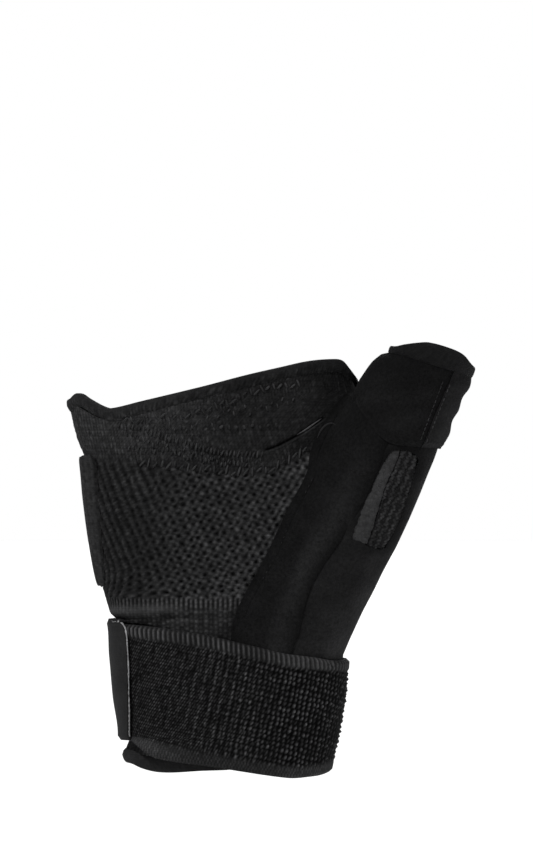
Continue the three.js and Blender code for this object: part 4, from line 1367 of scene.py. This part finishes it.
def buildThumbPanel():
    rows = []
    top = panel["topAlong"] * splint["thumbLength"]
    topPoint = thumbStart + top * alongThumb
    for v in np.linspace(0, 1, panel["rows"] + 1):
        rowZ = lambda x, v=v: (1 - v) * panel["bottomZ"] + v * (
            topPoint[2] + (x - topPoint[0]) * acrossThumb[2] / acrossThumb[0])
        edge = 20 * mm
        for _ in range(12):
            edge = float(panelEdgeAt(rowZ(edge)))
        ring = []
        for side, count in ((-1, panel["frontColumns"]), (1, panel["backColumns"])):
            points, _ = sideRow(rowZ, side, [edge], [1, count])
            points = points[1:]
            ring.append(points[:-1] if side < 0 else points[::-1])
        rows.append(np.concatenate(ring))
    points = np.array(rows)
    front = np.arange(points.shape[1]) <= panel["frontColumns"]
    x, z = points[..., 0], points[..., 2]
    away, nearX, nearZ = outlineDistance(windowEdge, x, z)
    snap = front[None, :] & (np.abs(away) < panel["snap"])
    moved = surfaceAt(np.where(snap, nearX, x), np.where(snap, nearZ, z), -1)
    points = np.where(snap[..., None], moved, points)
    cut = front[None, :] & (away < -panel["snap"] * 0.5)
    arc = arcAlong(points)
    uv = np.stack([arc, z], axis=-1)
    lift = layers["gap"] + 0.15 * mm * wobble(x, z, 41, 16 * mm)
    windowEdgeShade = np.exp(-(np.clip(away, 0, None) / (1.6 * mm)) ** 2) * front[None, :]
    lift = lift + 0.25 * mm * np.exp(-((away - 1.5 * mm) / (0.9 * mm)) ** 2) * front[None, :]
    fromEdge = arc * (arc < arc.max() / 2) + 1 * (arc >= arc.max() / 2)
    low = 1 - step(52 * mm, 74 * mm, z + 0.5 * (x - 40 * mm))
    # painted shade: darker beside the window, along the edge next to the pocket and towards the notch; lighter
    # low down and at the lower right
    tone = 0.57 + 0.12 * wobble(x, z, 42, 12 * mm) - 0.2 * windowEdgeShade
    tone = tone + 0.45 * low * step(4 * mm, 16 * mm, fromEdge)
    tone = tone + 0.2 * step(13 * mm, 19 * mm, x) * (1 - step(41 * mm, 44 * mm, z))
    tone = tone - 0.14 * (1 - step(0, 4 * mm, fromEdge)) - 0.14 * step(92 * mm, 104 * mm, z)
    ridge = np.exp(-((fromEdge - 14 * mm) / (4 * mm)) ** 2) * (1 - step(84 * mm, 94 * mm, z))
    tone = tone + 0.15 * step(60 * mm, 70 * mm, z) * ridge
    normals = normalsAt(points)
    ob = addGrid("thumb_panel_cloth", points + normals * lift[..., None], uv, tone)
    inside = cut.reshape(-1)
    bm = bmesh.new()
    bm.from_mesh(ob.data)
    bm.verts.ensure_lookup_table()
    gone = [face for face in bm.faces if any(inside[vert.index] for vert in face.verts)]
    bmesh.ops.delete(bm, geom=gone, context="FACES")
    bm.to_mesh(ob.data)
    bm.free()
    turnOutwards(ob, points, normals)
    return thicken(ob, layers["panel"], 0.3 * mm)


thumbPanel = finishPiece(buildThumbPanel(), "panelVelour", ["thumb_panel"])

window = {
    "inset": 0.1 * mm,
    "ribPitch": 1.95 * mm,
    "linkPitch": 1.75 * mm,
    "ribHeight": 0.3 * mm,
    # where plush and knit meet: along as a share of thumbLength, across of thumbWidth
    "split": [(0.4, 0.21), (0.44, 0.21), (0.593, 0.135), (0.76, 0.14)],
    "columns": 44,
    "rows": 150,
}


# The left and right x of the window at a height
def windowSides(z):
    left, right = np.full(len(z), 1e9), np.full(len(z), -1e9)
    for start, end in zip(windowEdge, np.roll(windowEdge, -1, axis=0)):
        low, high = min(start[1], end[1]), max(start[1], end[1])
        within = (z >= low) & (z <= high) & (high > low)
        x = start[0] + (z - start[1]) / (end[1] - start[1] + 1e-12) * (end[0] - start[0])
        left = np.where(within, np.minimum(left, x), left)
        right = np.where(within, np.maximum(right, x), right)
    return left, right


def buildWindowPiece(name, part, height, thickness):
    bottom, top = windowEdge[:, 1].min() + 0.25 * mm, windowEdge[:, 1].max() - 0.25 * mm
    z = np.linspace(bottom, top, window["rows"] + 1)
    left, right = windowSides(z)
    along = (z - thumbStart[2]) / alongThumb[2] / splint["thumbLength"]
    across = np.interp(along, *zip(*window["split"]))
    split = onThumb(np.stack([across, along], axis=-1))
    splitX = np.interp(z, split[:, 1], split[:, 0])
    splitX = np.clip(splitX, left + 0.1 * mm, right - 0.1 * mm)
    low, high = (left + window["inset"], splitX - 0.15 * mm) if part == "patch" else (
        splitX + 0.15 * mm, right - window["inset"])
    keep = high - low > 0.3 * mm
    z, low, high = z[keep], low[keep], high[keep]
    u = np.linspace(0, 1, window["columns"] + 1)[None, :]
    x = low[:, None] + (high - low)[:, None] * u
    zz = z[:, None] + 0 * x
    points = surfaceAt(x, zz, -1)
    alongAt, acrossAt = inThumb(x, zz)
    if part == "knit":
        column = acrossAt / window["ribPitch"]
        phase = 0.37 * np.round(column) + 0.5 * wobble(acrossAt, alongAt, 55, 4 * mm)
        swing = np.sin(2 * math.pi * (alongAt / window["linkPitch"] + phase))
        column = column + 0.15 * swing + 0.22 * wobble(acrossAt, alongAt, 53, 3.5 * mm)
        uneven = 0.6 + 0.7 * cellDraw(column, alongAt / window["linkPitch"], 54)
        aside = np.abs(column - np.round(column)) * window["ribPitch"]
        chain = np.exp(-(aside / (0.34 * mm)) ** 2)
        link = 0.5 + 0.5 * np.cos(2 * math.pi * (2 * alongAt / window["linkPitch"] + 0.3 * column))
        lift = window["ribHeight"] * (chain * (0.6 + 0.4 * link) + 0.4 * link * (1 - chain))
        between = np.exp(-((aside - window["ribPitch"] / 2) / (0.25 * mm)) ** 2)
        speck = cellDraw(acrossAt / (0.5 * mm), alongAt / (0.8 * mm), 57)
        tone = 0.16 + 0.8 * chain * (0.6 + 0.4 * link) * uneven + 0.45 * between * (0.3 + 0.7 * link) * speck
    else:
        speck = cellDraw(acrossAt / (0.45 * mm), alongAt / (0.7 * mm), 58)
        lift = 0.12 * mm * wobble(x, zz, 51, 3 * mm) + 0.1 * mm * speck
        # darker along its left edge, painted shade beside the panel, and along its right edge next to the knit
        tone = (0.6 + 0.16 * wobble(x, zz, 52, 3 * mm) + 0.28 * speck) * (0.75 + 0.25 * step(0, 0.22, u))
        tone = tone * (1 - 0.25 * step(0.8, 1, u))
    uv = np.stack([acrossAt, alongAt], axis=-1)
    return coverPiece(name, points, uv, tone, height + lift, thickness, 0.15 * mm)


windowKnit = buildWindowPiece("window_knit_cloth", "knit", layers["gap"], layers["windowKnit"] - 0.1 * mm)
finishPiece(windowKnit, "sleeveKnit", ["window_knit"])
windowPatch = buildWindowPiece("window_patch_cloth", "patch", layers["gap"], layers["windowPatch"] - 0.1 * mm)
finishPiece(windowPatch, "greyPlush", ["window_patch"])
print("pocket, panel and window laid")

# Ulnar pocket, down the sleeve's ulnar edge
ulnar = {
    "frontEdge": [(0.448, -0.452), (0.488, -0.451), (0.628, -0.467), (0.77, -0.481)],
    "lower": 0.462,  # shares of bodyHeight
    "upper": 0.765,
    "corner": 3 * mm,
    "columns": 36,
    "rows": 90,
}


def buildUlnarPocket():
    z = np.linspace(ulnar["lower"], ulnar["upper"], ulnar["rows"] + 1) * splint["bodyHeight"]
    up = [row[0] * splint["bodyHeight"] for row in ulnar["frontEdge"]]
    frontX = curveThrough(up, [row[1] * splint["palmWidth"] for row in ulnar["frontEdge"]], z)
    points = []
    for height, edge in zip(z, frontX):
        turn = np.linspace(math.pi, math.pi * 1.5, 400)
        x = bodyPoint(np.full(len(turn), height), turn, 0)[:, 0]
        fromEnd = min(height - z[0], z[-1] - height) / ulnar["corner"]
        inset = ulnar["corner"] * (1 - math.sqrt(max(0, 1 - max(0, 1 - fromEnd) ** 2)))
        frontTurn = float(np.interp(edge - 0.55 * inset, x, turn))
        backTurn = math.pi * 2 - frontTurn
        turns = np.linspace(frontTurn, backTurn, ulnar["columns"] + 1)
        points.append(bodyPoint(np.full(len(turns), height), turns, 0))
    points = np.array(points)
    u = np.linspace(-1, 1, ulnar["columns"] + 1)[None, :]
    v = np.linspace(-1, 1, ulnar["rows"] + 1)[:, None]
    puff = np.sqrt(np.clip(1 - np.abs(u) ** 4, 0, 1)) * np.sqrt(np.clip(1 - np.abs(v) ** 14, 0, 1))
    arc = u * 6 * mm
    rib = 0.5 + 0.5 * np.cos(2 * math.pi * arc / (1.2 * mm))
    lift = (0.35 * puff - 0.35) * mm + 0.05 * mm * rib - 1.25 * mm * (1 - step(-1, -0.35, u))
    loop = cellDraw(arc / (0.6 * mm), points[..., 2] / (0.75 * mm), 33)
    tone = (0.34 + 0.16 * rib + 0.35 * loop) * (0.9 - 0.12 * step(0.6, 0.8, v))
    # darker along the front edge where it tucks under: painted shade
    tone = tone - 0.3 * (1 - step(-1, -0.75, u))
    uv = np.stack([arc + 0 * v, points[..., 2]], axis=-1)
    return coverPiece("ulnar_pocket_cloth", points, uv, tone + 0 * v, layers["gap"] + lift + 0 * v,
                      layers["ulnarPocket"] - 0.1 * mm, 0.5 * mm)


ulnarPocket = finishPiece(buildUlnarPocket(), "sleeveKnit", ["ulnar_stay_pocket"])
print("ulnar pocket laid")

# Thumb strap and its lapped end
thumbBand = {
    "seamTurn": math.radians(-53.5),  # front seam, as an angle from the outer side
    "rows": 70,
    "columns": 150,
    "endColumns": 90,
    "foldHeight": 0.45 * mm,
}


# Soft creases round the outer side of the thumb tube
def strapFolds(up, turn):
    outerSide = np.exp(-((np.angle(np.exp(1j * turn))) / 1.1) ** 2)
    along = up / splint["thumbLength"]
    waves = np.cos(2 * math.pi * (along - 0.9) / 0.075)
    return thumbBand["foldHeight"] * outerSide * waves * (0.6 + 0.4 * np.sin(turn * 3))


def buildThumbBand(name, turns, top, seamTurn):
    low = thumbLine(thumbStrapLowerAt, top, splint["thumbLength"] * 0.8)
    high = thumbLine(thumbHemLineAt, top, splint["thumbLength"])
    highAt = lambda turn: high(turn) + layers["gap"]
    thick = layers["thumbStrap"]

    def outside(up, turn, share):
        edge = 0.9 * mm * (1 - step(0, 2.2 * mm, share * 25 * mm))
        edge = edge + 1.5 * mm * (1 - step(0, 4 * mm, (1 - share) * 25 * mm))
        hemLine = 0.12 * mm * np.exp(-((share * 25 * mm - 2.2 * mm) / (0.35 * mm)) ** 2)
        folds = strapFolds(up, turn) * step(0, 5 * mm, (1 - share) * 25 * mm)
        return top - edge - hemLine + folds - 0.2 * mm

    outer, up = ringGrid(thumbPoint, low, highAt, turns, thumbBand["rows"], outside)
    inner, _ = ringGrid(thumbPoint, low, highAt, turns, thumbBand["rows"],
                        lambda u, t, s: np.minimum(outside(u, t, s) - thick * 0.6, top - thick) + 0 * u)
    share = np.linspace(0, 1, thumbBand["rows"] + 1)[:, None]
    turn = np.broadcast_to(turns, up.shape)
    fromSeam = (turn - seamTurn) * 14 * mm
    shaded = step(-3 * mm, -16 * mm, fromSeam) if name == "thumb_strap_cloth" else 0 * turn
    tone = (0.52 if name == "thumb_strap_cloth" else 0.62) + 0.12 * wobble(turn * 0.014, up, 61, 9 * mm)
    tone = tone * (1.2 - 0.4 * step(0.2, 0.9, share)) - 0.15 * shaded
    tone = tone - 0.12 * np.exp(-((share - 0.09) / 0.02) ** 2)
    if name == "thumb_strap_end_cloth":
        tone = tone * (1.25 - 0.45 * step(4 * mm, 12 * mm, fromSeam))
    tone = tone - 0.15 * np.exp(-(fromSeam / (0.8 * mm)) ** 2)
    uv = np.stack([turn * 14 * mm, up], axis=-1)
    ob = linedShell(name, outer, inner, uv, tone, (1, 1), False)
    smoothShade(ob, 60)
    return ob


seam = thumbBand["seamTurn"]
bandTurns = np.linspace(seam - 0.006, -1.5 * math.pi + 0.02, thumbBand["columns"] + 1)
endTurns = np.linspace(seam, 0.5 * math.pi, thumbBand["endColumns"] + 1)
thumbStrap = buildThumbBand("thumb_strap_cloth", bandTurns, thumbStrapTop, seam)
finishPiece(thumbStrap, "darkVelour", ["thumb_strap"])
endTop = thumbStrapTop + layers["thumbStrapStep"]
thumbStrapEnd = buildThumbBand("thumb_strap_end_cloth", endTurns, endTop, seam)
finishPiece(thumbStrapEnd, "panelVelour", ["thumb_strap_end"])
print("thumb strap closed")

# Closing tab of the wrist strap, with a pale cord along its front edge: painted highlight where light catches
# that edge
tab = {
    "frontEdge": [(0.06, -0.5), (0.161, -0.502), (0.279, -0.508), (0.359, -0.522), (0.385, -0.552)],
    "backX": 0.1,  # share of wristWidth
    "lower": 0.087,  # shares of bodyHeight
    "upper": 0.381,
    "columns": 130,
    "rows": 90,
}


def tabTurns(height, frontX, grow):
    turn = np.linspace(math.pi, math.pi * 1.5, 300)
    x = bodyPoint(np.full(len(turn), height), turn, grow)[:, 0]
    frontTurn = float(np.interp(frontX, x, turn))
    back = np.linspace(math.pi * 0.5, 0, 300)
    backX = bodyPoint(np.full(len(back), height), back, grow)[:, 0]
    return frontTurn, float(np.interp(tab["backX"] * splint["wristWidth"], backX, back))


def buildTab():
    z = np.linspace(tab["lower"], tab["upper"], tab["rows"] + 1) * splint["bodyHeight"]
    up = [row[0] * splint["bodyHeight"] for row in tab["frontEdge"]]
    edge = curveThrough(up, [row[1] * splint["wristWidth"] for row in tab["frontEdge"]], z)
    points = []
    for height, frontX in zip(z, edge):
        frontTurn, backTurn = tabTurns(height, frontX, tabTop)
        turns = np.linspace(frontTurn, backTurn, tab["columns"] + 1)
        points.append(bodyPoint(np.full(len(turns), height), turns, 0))
    points = np.array(points)
    arc = arcAlong(points)
    uv = np.stack([arc, points[..., 2]], axis=-1)
    tone = 0.6 + 0.15 * wobble(arc, points[..., 2], 71, 10 * mm)
    tone = tone + 0.25 * (cellDraw(arc / (0.45 * mm), points[..., 2] / (0.9 * mm), 38) - 0.5)
    tone = tone * (1 - 0.18 * np.exp(-((points[..., 2] - 23 * mm) / (8 * mm)) ** 2))
    bottom = wristStrapTop + layers["gap"] + 0.1 * mm * wobble(arc, points[..., 2], 72, 20 * mm)
    ob = coverPiece("strap_tab_cloth", points, uv, tone, bottom, layers["tab"] - 0.1 * mm, 0.2 * mm)
    normals = normalsAt(points[:, 0])
    rim = points[:, 0] + normals * (tabTop - 0.5 * mm)
    top = points[-1, :12] + normalsAt(points[-1, :12]) * (tabTop - 0.4 * mm)
    return ob, rim, top


strapTab, tabRim, tabTopEdge = buildTab()
finishPiece(strapTab, "tabCloth", ["strap_tab"])


def closedTube(name, ring, uv, tone):
    ob = addGrid(name, ring, uv, tone, girth=2 * math.pi * 0.3 * mm)
    selectOnly(ob)
    bpy.ops.object.mode_set(mode="EDIT")
    bpy.ops.mesh.select_all(action="DESELECT")
    bpy.ops.mesh.select_non_manifold()
    bpy.ops.mesh.edge_face_add()
    bpy.ops.object.mode_set(mode="OBJECT")
    facesOut(ob)
    smoothShade(ob)
    return ob


# A thin, uneven pale cord along the tab's front edge: painted highlight of the edge
def buildEdgeHighlight():
    draw = np.random.RandomState(7)
    path = tabRim + np.array([0.25 * mm, -0.35 * mm, 0])
    wander = np.cumsum(draw.normal(0, 0.02 * mm, len(path)))
    path[:, 0] += wander - np.linspace(wander[0], wander[-1], len(path))
    radius = 0.2 * mm * (1 + 0.35 * draw.uniform(-1, 1, len(path)))
    radius = radius * (1 + 0.7 * np.linspace(0, 1, len(path)) ** 6)
    around = np.linspace(0, 2 * math.pi, 8, endpoint=False)
    ring = np.stack([np.cos(around), np.sin(around), 0 * around], axis=-1)
    points = path[:, None, :] + ring[None] * radius[:, None, None]
    uv = np.stack(np.broadcast_arrays(around[None, :] * 0.3 * mm, path[:, 2:3]), axis=-1)
    tone = 0.6 + 0.4 * draw.uniform(-1, 1, points.shape[:2])
    return closedTube("tab_edge_highlight", points, uv, tone)


edgeHighlightAndFrays = finishPiece(buildEdgeHighlight(), "edgeHighlightAndFrays")
print("tab laid")

# Stitches: one small capsule, laid again and again along a line
stitch = {"sides": 6, "stations": (-1, -0.82, -0.35, 0.35, 0.82, 1), "girth": (0.25, 0.7, 1, 1, 0.7, 0.25)}


# Every stitch as one mesh: its middle, the way it lies, the way out, its length and thickness
def stitchMesh(name, middles, ways, normals, lengths, thicknesses, shade=0.7):
    around = np.linspace(0, 2 * math.pi, stitch["sides"], endpoint=False)
    stations, girth = np.array(stitch["stations"]), np.array(stitch["girth"])
    crossways = np.cross(ways, normals)
    crossways /= np.linalg.norm(crossways, axis=1, keepdims=True)
    count, per = len(middles), len(stations) * stitch["sides"]
    bow = 1 - stations ** 2
    points = (
        middles[:, None, None, :]
        + ways[:, None, None, :] * (stations[None, :, None, None] * lengths[:, None, None, None] / 2)
        + normals[:, None, None, :] * (thicknesses[:, None, None, None] / 2 * (
            bow[None, :, None, None] * 0.9 + girth[None, :, None, None] * np.sin(around)[None, None, :, None]))
        + crossways[:, None, None, :] * (
            thicknesses[:, None, None, None] / 2
            * girth[None, :, None, None] * np.cos(around)[None, None, :, None])
    ).reshape(count * per, 3)
    single = []
    sides, rings = stitch["sides"], len(stations)
    for i in range(rings - 1):
        for j in range(sides):
            k = (j + 1) % sides
            single.append((i * sides + j, i * sides + k, (i + 1) * sides + k, (i + 1) * sides + j))
    single.append(tuple(range(sides))[::-1])
    single.append(tuple((rings - 1) * sides + j for j in range(sides)))
    faces = [tuple(index + n * per for index in face) for n in range(count) for face in single]
    mesh = bpy.data.meshes.new(name)
    mesh.from_pydata(points.tolist(), [], faces)
    ob = bpy.data.objects.new(name, mesh)
    bpy.context.collection.objects.link(ob)
    mesh.uv_layers.new(name="cloth")
    draw = np.random.RandomState(len(middles))
    setTone(mesh, np.repeat(shade + 0.3 * draw.uniform(-1, 1, count), per))
    facesOut(ob)
    smoothShade(ob)
    return ob


# Rows of stitches over the palm side, in millimetres of the front view, with how they lie
palmStitchRows = [
    {"line": [(-32.2, 109.6), (-19.9, 110.3), (-14.6, 110), (-9.7, 112.4), (-4.2, 114), (5, 117.2),
              (12.8, 120.1), (21.1, 121)],
     "pitch": 1.9, "length": 2.1, "thick": 0.62, "lean": 78, "zigzag": 34, "spread": 1.6},
    {"line": [(-30, 107.6), (-28, 107.2), (-20.8, 104.7), (-13.7, 102.6), (-5.1, 100.1), (2, 99.2),
              (9.7, 99.2)],
     "pitch": 1.2, "length": 1.9, "thick": 0.56, "lean": 76, "zigzag": 8, "spread": 0.3},
    {"line": [(-12, 104.8), (-4.5, 107.2), (3, 107.9), (15, 107.8)],
     "pitch": 2.4, "length": 1.2, "thick": 0.75, "lean": 70, "zigzag": 30, "spread": 1.2},
    {"line": [(-27, 96.4), (-19, 96.2), (-11, 95), (-5, 94.4), (2, 93.6), (9, 93.8), (14, 95.4),
              (19, 98.4), (23, 101)],
     "pitch": 2, "length": 2.5, "thick": 0.6, "lean": 64, "zigzag": 18, "spread": 1.5},
    {"line": [(-31, 101.5), (-22, 100.5), (-14, 98.6), (-6, 97.2), (6, 96.4)],
     "pitch": 1.3, "length": 1.4, "thick": 0.55, "lean": 80, "zigzag": 16, "spread": 1.8},
    {"line": [(-33, 105.6), (-26, 103.2), (-18, 101.2), (-10, 98.6), (0, 97.4), (10, 97)],
     "pitch": 1.4, "length": 1.3, "thick": 0.5, "lean": 82, "zigzag": 14, "spread": 2},
    {"line": [(-34, 108.6), (-24, 108), (-14, 107.6), (-8, 109), (2, 111.8), (12, 114.4), (20, 116.4)],
     "pitch": 1.7, "length": 1.3, "thick": 0.5, "lean": 80, "zigzag": 20, "spread": 3.4},
]


def alongLine(points, pitch):
    points = np.asarray(points, float) * mm
    dense = np.linspace(points[0, 0], points[-1, 0], 400)
    z = curveThrough(points[:, 0], points[:, 1], dense)
    gone = np.r_[0, np.cumsum(np.hypot(np.diff(dense), np.diff(z)))]
    wanted = np.arange(0, gone[-1], pitch * mm)
    return np.interp(wanted, gone, dense), np.interp(wanted, gone, z)


def buildPalmStitches():
    middles, ways, normals, lengths, thicknesses = [], [], [], [], []
    for index, row in enumerate(palmStitchRows):
        draw = np.random.RandomState(100 + index)
        x, z = alongLine(row["line"], row["pitch"])
        count = len(x)
        x = x + draw.uniform(-0.15, 0.15, count) * mm
        z = z + draw.uniform(-0.5, 0.5, count) * row["spread"] * mm
        swing = row["zigzag"] * np.where(np.arange(count) % 2, 1, -1) + draw.uniform(-8, 8, count)
        lean = np.radians(row["lean"] + swing)
        points = surfaceAt(x, z, -1)
        out = normalsAt(points)
        aside = np.stack([np.cos(lean), 0 * lean, np.sin(lean)], axis=-1)
        way = aside - out * np.sum(aside * out, axis=1, keepdims=True)
        way /= np.linalg.norm(way, axis=1, keepdims=True)
        lift, _ = sleeveRelief(x, z, x, -1)
        middles.append(points + out * (np.clip(lift, 0, None) + 0.12 * mm)[:, None])
        ways.append(way)
        normals.append(out)
        lengths.append(row["length"] * mm * (1 + 0.25 * draw.uniform(-1, 1, count)))
        thicknesses.append(row["thick"] * mm * (1 + 0.15 * draw.uniform(-1, 1, count)))
    return stitchMesh("palm_stitches", *[np.concatenate(part) for part in
                                         (middles, ways, normals, lengths, thicknesses)])


palmStitches = finishPiece(buildPalmStitches(), "threadAndFoldHighlight")


# Lit edges of small folds, in millimetres of the front view: line, radius and how far it stands out
foldLips = [
    {"name": "palm_crease_lip", "line": [(20.4, 105.1), (22.6, 106.4), (25.4, 108.3), (28, 110.1)],
     "radius": 0.24, "proud": 0.35, "tone": 1.5},
    {"name": "pocket_fold_lip",
     "line": [(27, 103.4), (28, 105.8), (29.6, 107.4), (31.6, 107.8), (33.4, 107.2)],
     "radius": 0.4, "proud": 1.75, "tone": 0.28},
]


def buildFoldLips():
    pieces = []
    around = np.linspace(0, 2 * math.pi, 8, endpoint=False)
    for lip in foldLips:
        x, z = alongLine(lip["line"], 0.3)
        points = surfaceAt(x, z, -1)
        out = normalsAt(points)
        share = np.linspace(0, 1, len(x))
        radius = lip["radius"] * mm * np.clip(np.sin(math.pi * share), 0.06, 1) ** 0.6
        way = np.gradient(points, axis=0)
        way /= np.linalg.norm(way, axis=1, keepdims=True)
        beside = np.cross(way, out)
        middle = points + out * (lip["proud"] * mm - radius * 0.4)[:, None]
        ring = middle[:, None] + radius[:, None, None] * (
            np.cos(around)[None, :, None] * beside[:, None] + np.sin(around)[None, :, None] * out[:, None])
        uv = np.stack(np.broadcast_arrays(around[None, :] * 0.3 * mm, x[:, None]), axis=-1)
        tone = np.full(ring.shape[:2], lip["tone"])
        pieces.append(closedTube(lip["name"], ring, uv, tone))
    return pieces


# Two lines of running stitches inside the palmar pocket's inner edge
def buildPocketSeam():
    middles, ways, normals, lengths, thicknesses = [], [], [], [], []
    for inset in (2.5 * mm, 3.6 * mm):
        z = np.arange(50, 93, 1.75) * mm
        edge = pocketInnerAt(z)
        slope = (pocketInnerAt(z + mm) - pocketInnerAt(z - mm)) / (2 * mm)
        way2 = np.stack([slope, np.ones_like(slope)], axis=-1)
        way2 /= np.linalg.norm(way2, axis=1, keepdims=True)
        x = edge + inset * way2[:, 1]
        points = surfaceAt(x, z - inset * way2[:, 0], -1)
        out = normalsAt(points)
        way = np.stack([way2[:, 0], 0 * z, way2[:, 1]], axis=-1)
        way = way - out * np.sum(way * out, axis=1, keepdims=True)
        way /= np.linalg.norm(way, axis=1, keepdims=True)
        middles.append(points + out * (palmarPocketTop - 0.32 * mm))
        ways.append(way)
        normals.append(out)
        lengths.append(np.full(len(z), 1.3 * mm))
        thicknesses.append(np.full(len(z), 0.2 * mm))
    return stitchMesh("pocket_stitches", *[np.concatenate(part) for part in
                                           (middles, ways, normals, lengths, thicknesses)], 0.45)


pocketStitches = finishPiece(buildPocketSeam(), "threadAndFoldHighlight")
creaseLip, pocketLip = buildFoldLips()
# the fold lips take the thread's grey; the crease lip's bright tone is a painted highlight
finishPiece(creaseLip, "threadAndFoldHighlight")
finishPiece(pocketLip, "threadAndFoldHighlight")


# The double seam where the thumb strap's end is sewn down
def buildThumbSeam():
    middles, ways, normals, lengths, thicknesses = [], [], [], [], []
    for low, high, thick in ((7.5 * mm, 6.5 * mm, 0.42), (9.4 * mm, 8.8 * mm, 0.45)):
        along = np.arange(77.5, 97, 1.5) * mm
        across = low + (high - low) * (along - along[0]) / (along[-1] - along[0])
        top = thumbStrapTop + layers["thumbStrapStep"] * (low > 9 * mm) - 0.3 * mm
        turn = -np.arccos(across / (thumbSize("outer", along) + top))
        points = thumbPoint(along, turn, top + 0 * along)
        ahead = thumbPoint(along + mm, turn, top + 0 * along)
        aside = thumbPoint(along, turn + 0.02, top + 0 * along)
        way = ahead - points
        way /= np.linalg.norm(way, axis=1, keepdims=True)
        out = np.cross(way, aside - points)
        out /= np.linalg.norm(out, axis=1, keepdims=True)
        out = np.where(out[:, 1:2] > 0, -out, out)
        middles.append(points)
        ways.append(way)
        normals.append(out)
        lengths.append(np.full(len(along), 1.3 * mm))
        thicknesses.append(np.full(len(along), thick * mm))
    return stitchMesh("thumb_seam_stitches", *[np.concatenate(part) for part in
                                               (middles, ways, normals, lengths, thicknesses)], 0.52)


thumbSeam = finishPiece(buildThumbSeam(), "threadAndFoldHighlight")


# Loose white threads along the upper corner of the tab
def buildFrays():
    draw = np.random.RandomState(19)
    count = 22
    at = draw.uniform(0, len(tabTopEdge) - 1, count)
    places = np.arange(len(tabTopEdge))
    middle = np.stack([np.interp(at, places, tabTopEdge[:, axis]) for axis in range(3)], axis=-1)
    out = normalsAt(middle)
    upright = np.array([0, 0, 1])
    middle = middle + upright * draw.uniform(-0.4, 0.7, (count, 1)) * mm
    way = np.cross(out, upright) * draw.normal(0, 1, (count, 1))
    way = way + upright * draw.normal(0, 1, (count, 1))
    way /= np.linalg.norm(way, axis=1, keepdims=True)
    return stitchMesh("tab_frays", middle, way, out, draw.uniform(0.5, 1.2, count) * mm,
                      draw.uniform(0.12, 0.24, count) * mm, 0.75)


tabFrays = finishPiece(buildFrays(), "edgeHighlightAndFrays")
print("stitches sewn")

# Floor, world and lights
studio = {
    "floorZ": -0.1,
    "floorSize": 60,
    "floorColour": (0.97, 0.97, 0.97),
    "worldSeen": 1.0,
    "worldLight": 0.18,
    "key": {"strength": 3.2, "angle": 10, "from": (-0.35, -0.55, 0.95)},
    "fill": {"strength": 0.35, "angle": 30, "from": (0.95, -0.5, 0.35)},
    "rear": {"strength": 1.3, "angle": 40, "from": (0.25, 0.9, 0.45)},
}


def buildStudio():
    bpy.ops.mesh.primitive_plane_add(size=studio["floorSize"], location=(0, 0, studio["floorZ"]))
    floor = bpy.context.object
    floor.name = "floor"
    bpy.ops.object.transform_apply(location=True, rotation=False, scale=False)
    paint = bpy.data.materials.new("paleFloor")
    paint.use_nodes = True
    shader = paint.node_tree.nodes["Principled BSDF"]
    shader.inputs["Base Color"].default_value = (*studio["floorColour"], 1)
    shader.inputs["Roughness"].default_value = 0.9
    floor.data.materials.append(paint)
    for name in ("key", "fill", "rear"):
        light = studio[name]
        bpy.ops.object.light_add(type="SUN", location=(0, 0, 1))
        sun = bpy.context.object
        sun.name = name
        sun.data.energy = light["strength"]
        sun.data.angle = math.radians(light["angle"])
        x, y, z = light["from"]
        sun.rotation_euler = (math.atan2(math.hypot(x, y), z), 0, math.atan2(y, x) + math.pi / 2)
    world = bpy.data.worlds.new("paleRoom")
    bpy.context.scene.world = world
    world.use_nodes = True
    tree = world.node_tree
    back = tree.nodes["Background"]
    back.inputs["Color"].default_value = (1, 1, 1, 1)
    ray = tree.nodes.new("ShaderNodeLightPath")
    seen, lit = studio["worldSeen"], studio["worldLight"]
    strength = mathNode(tree, "MULTIPLY_ADD", ray.outputs["Is Camera Ray"], seen - lit, lit)
    tree.links.new(strength, back.inputs["Strength"])
    bpy.context.scene.view_settings.view_transform = "Standard"


buildStudio()
print("studio lit")
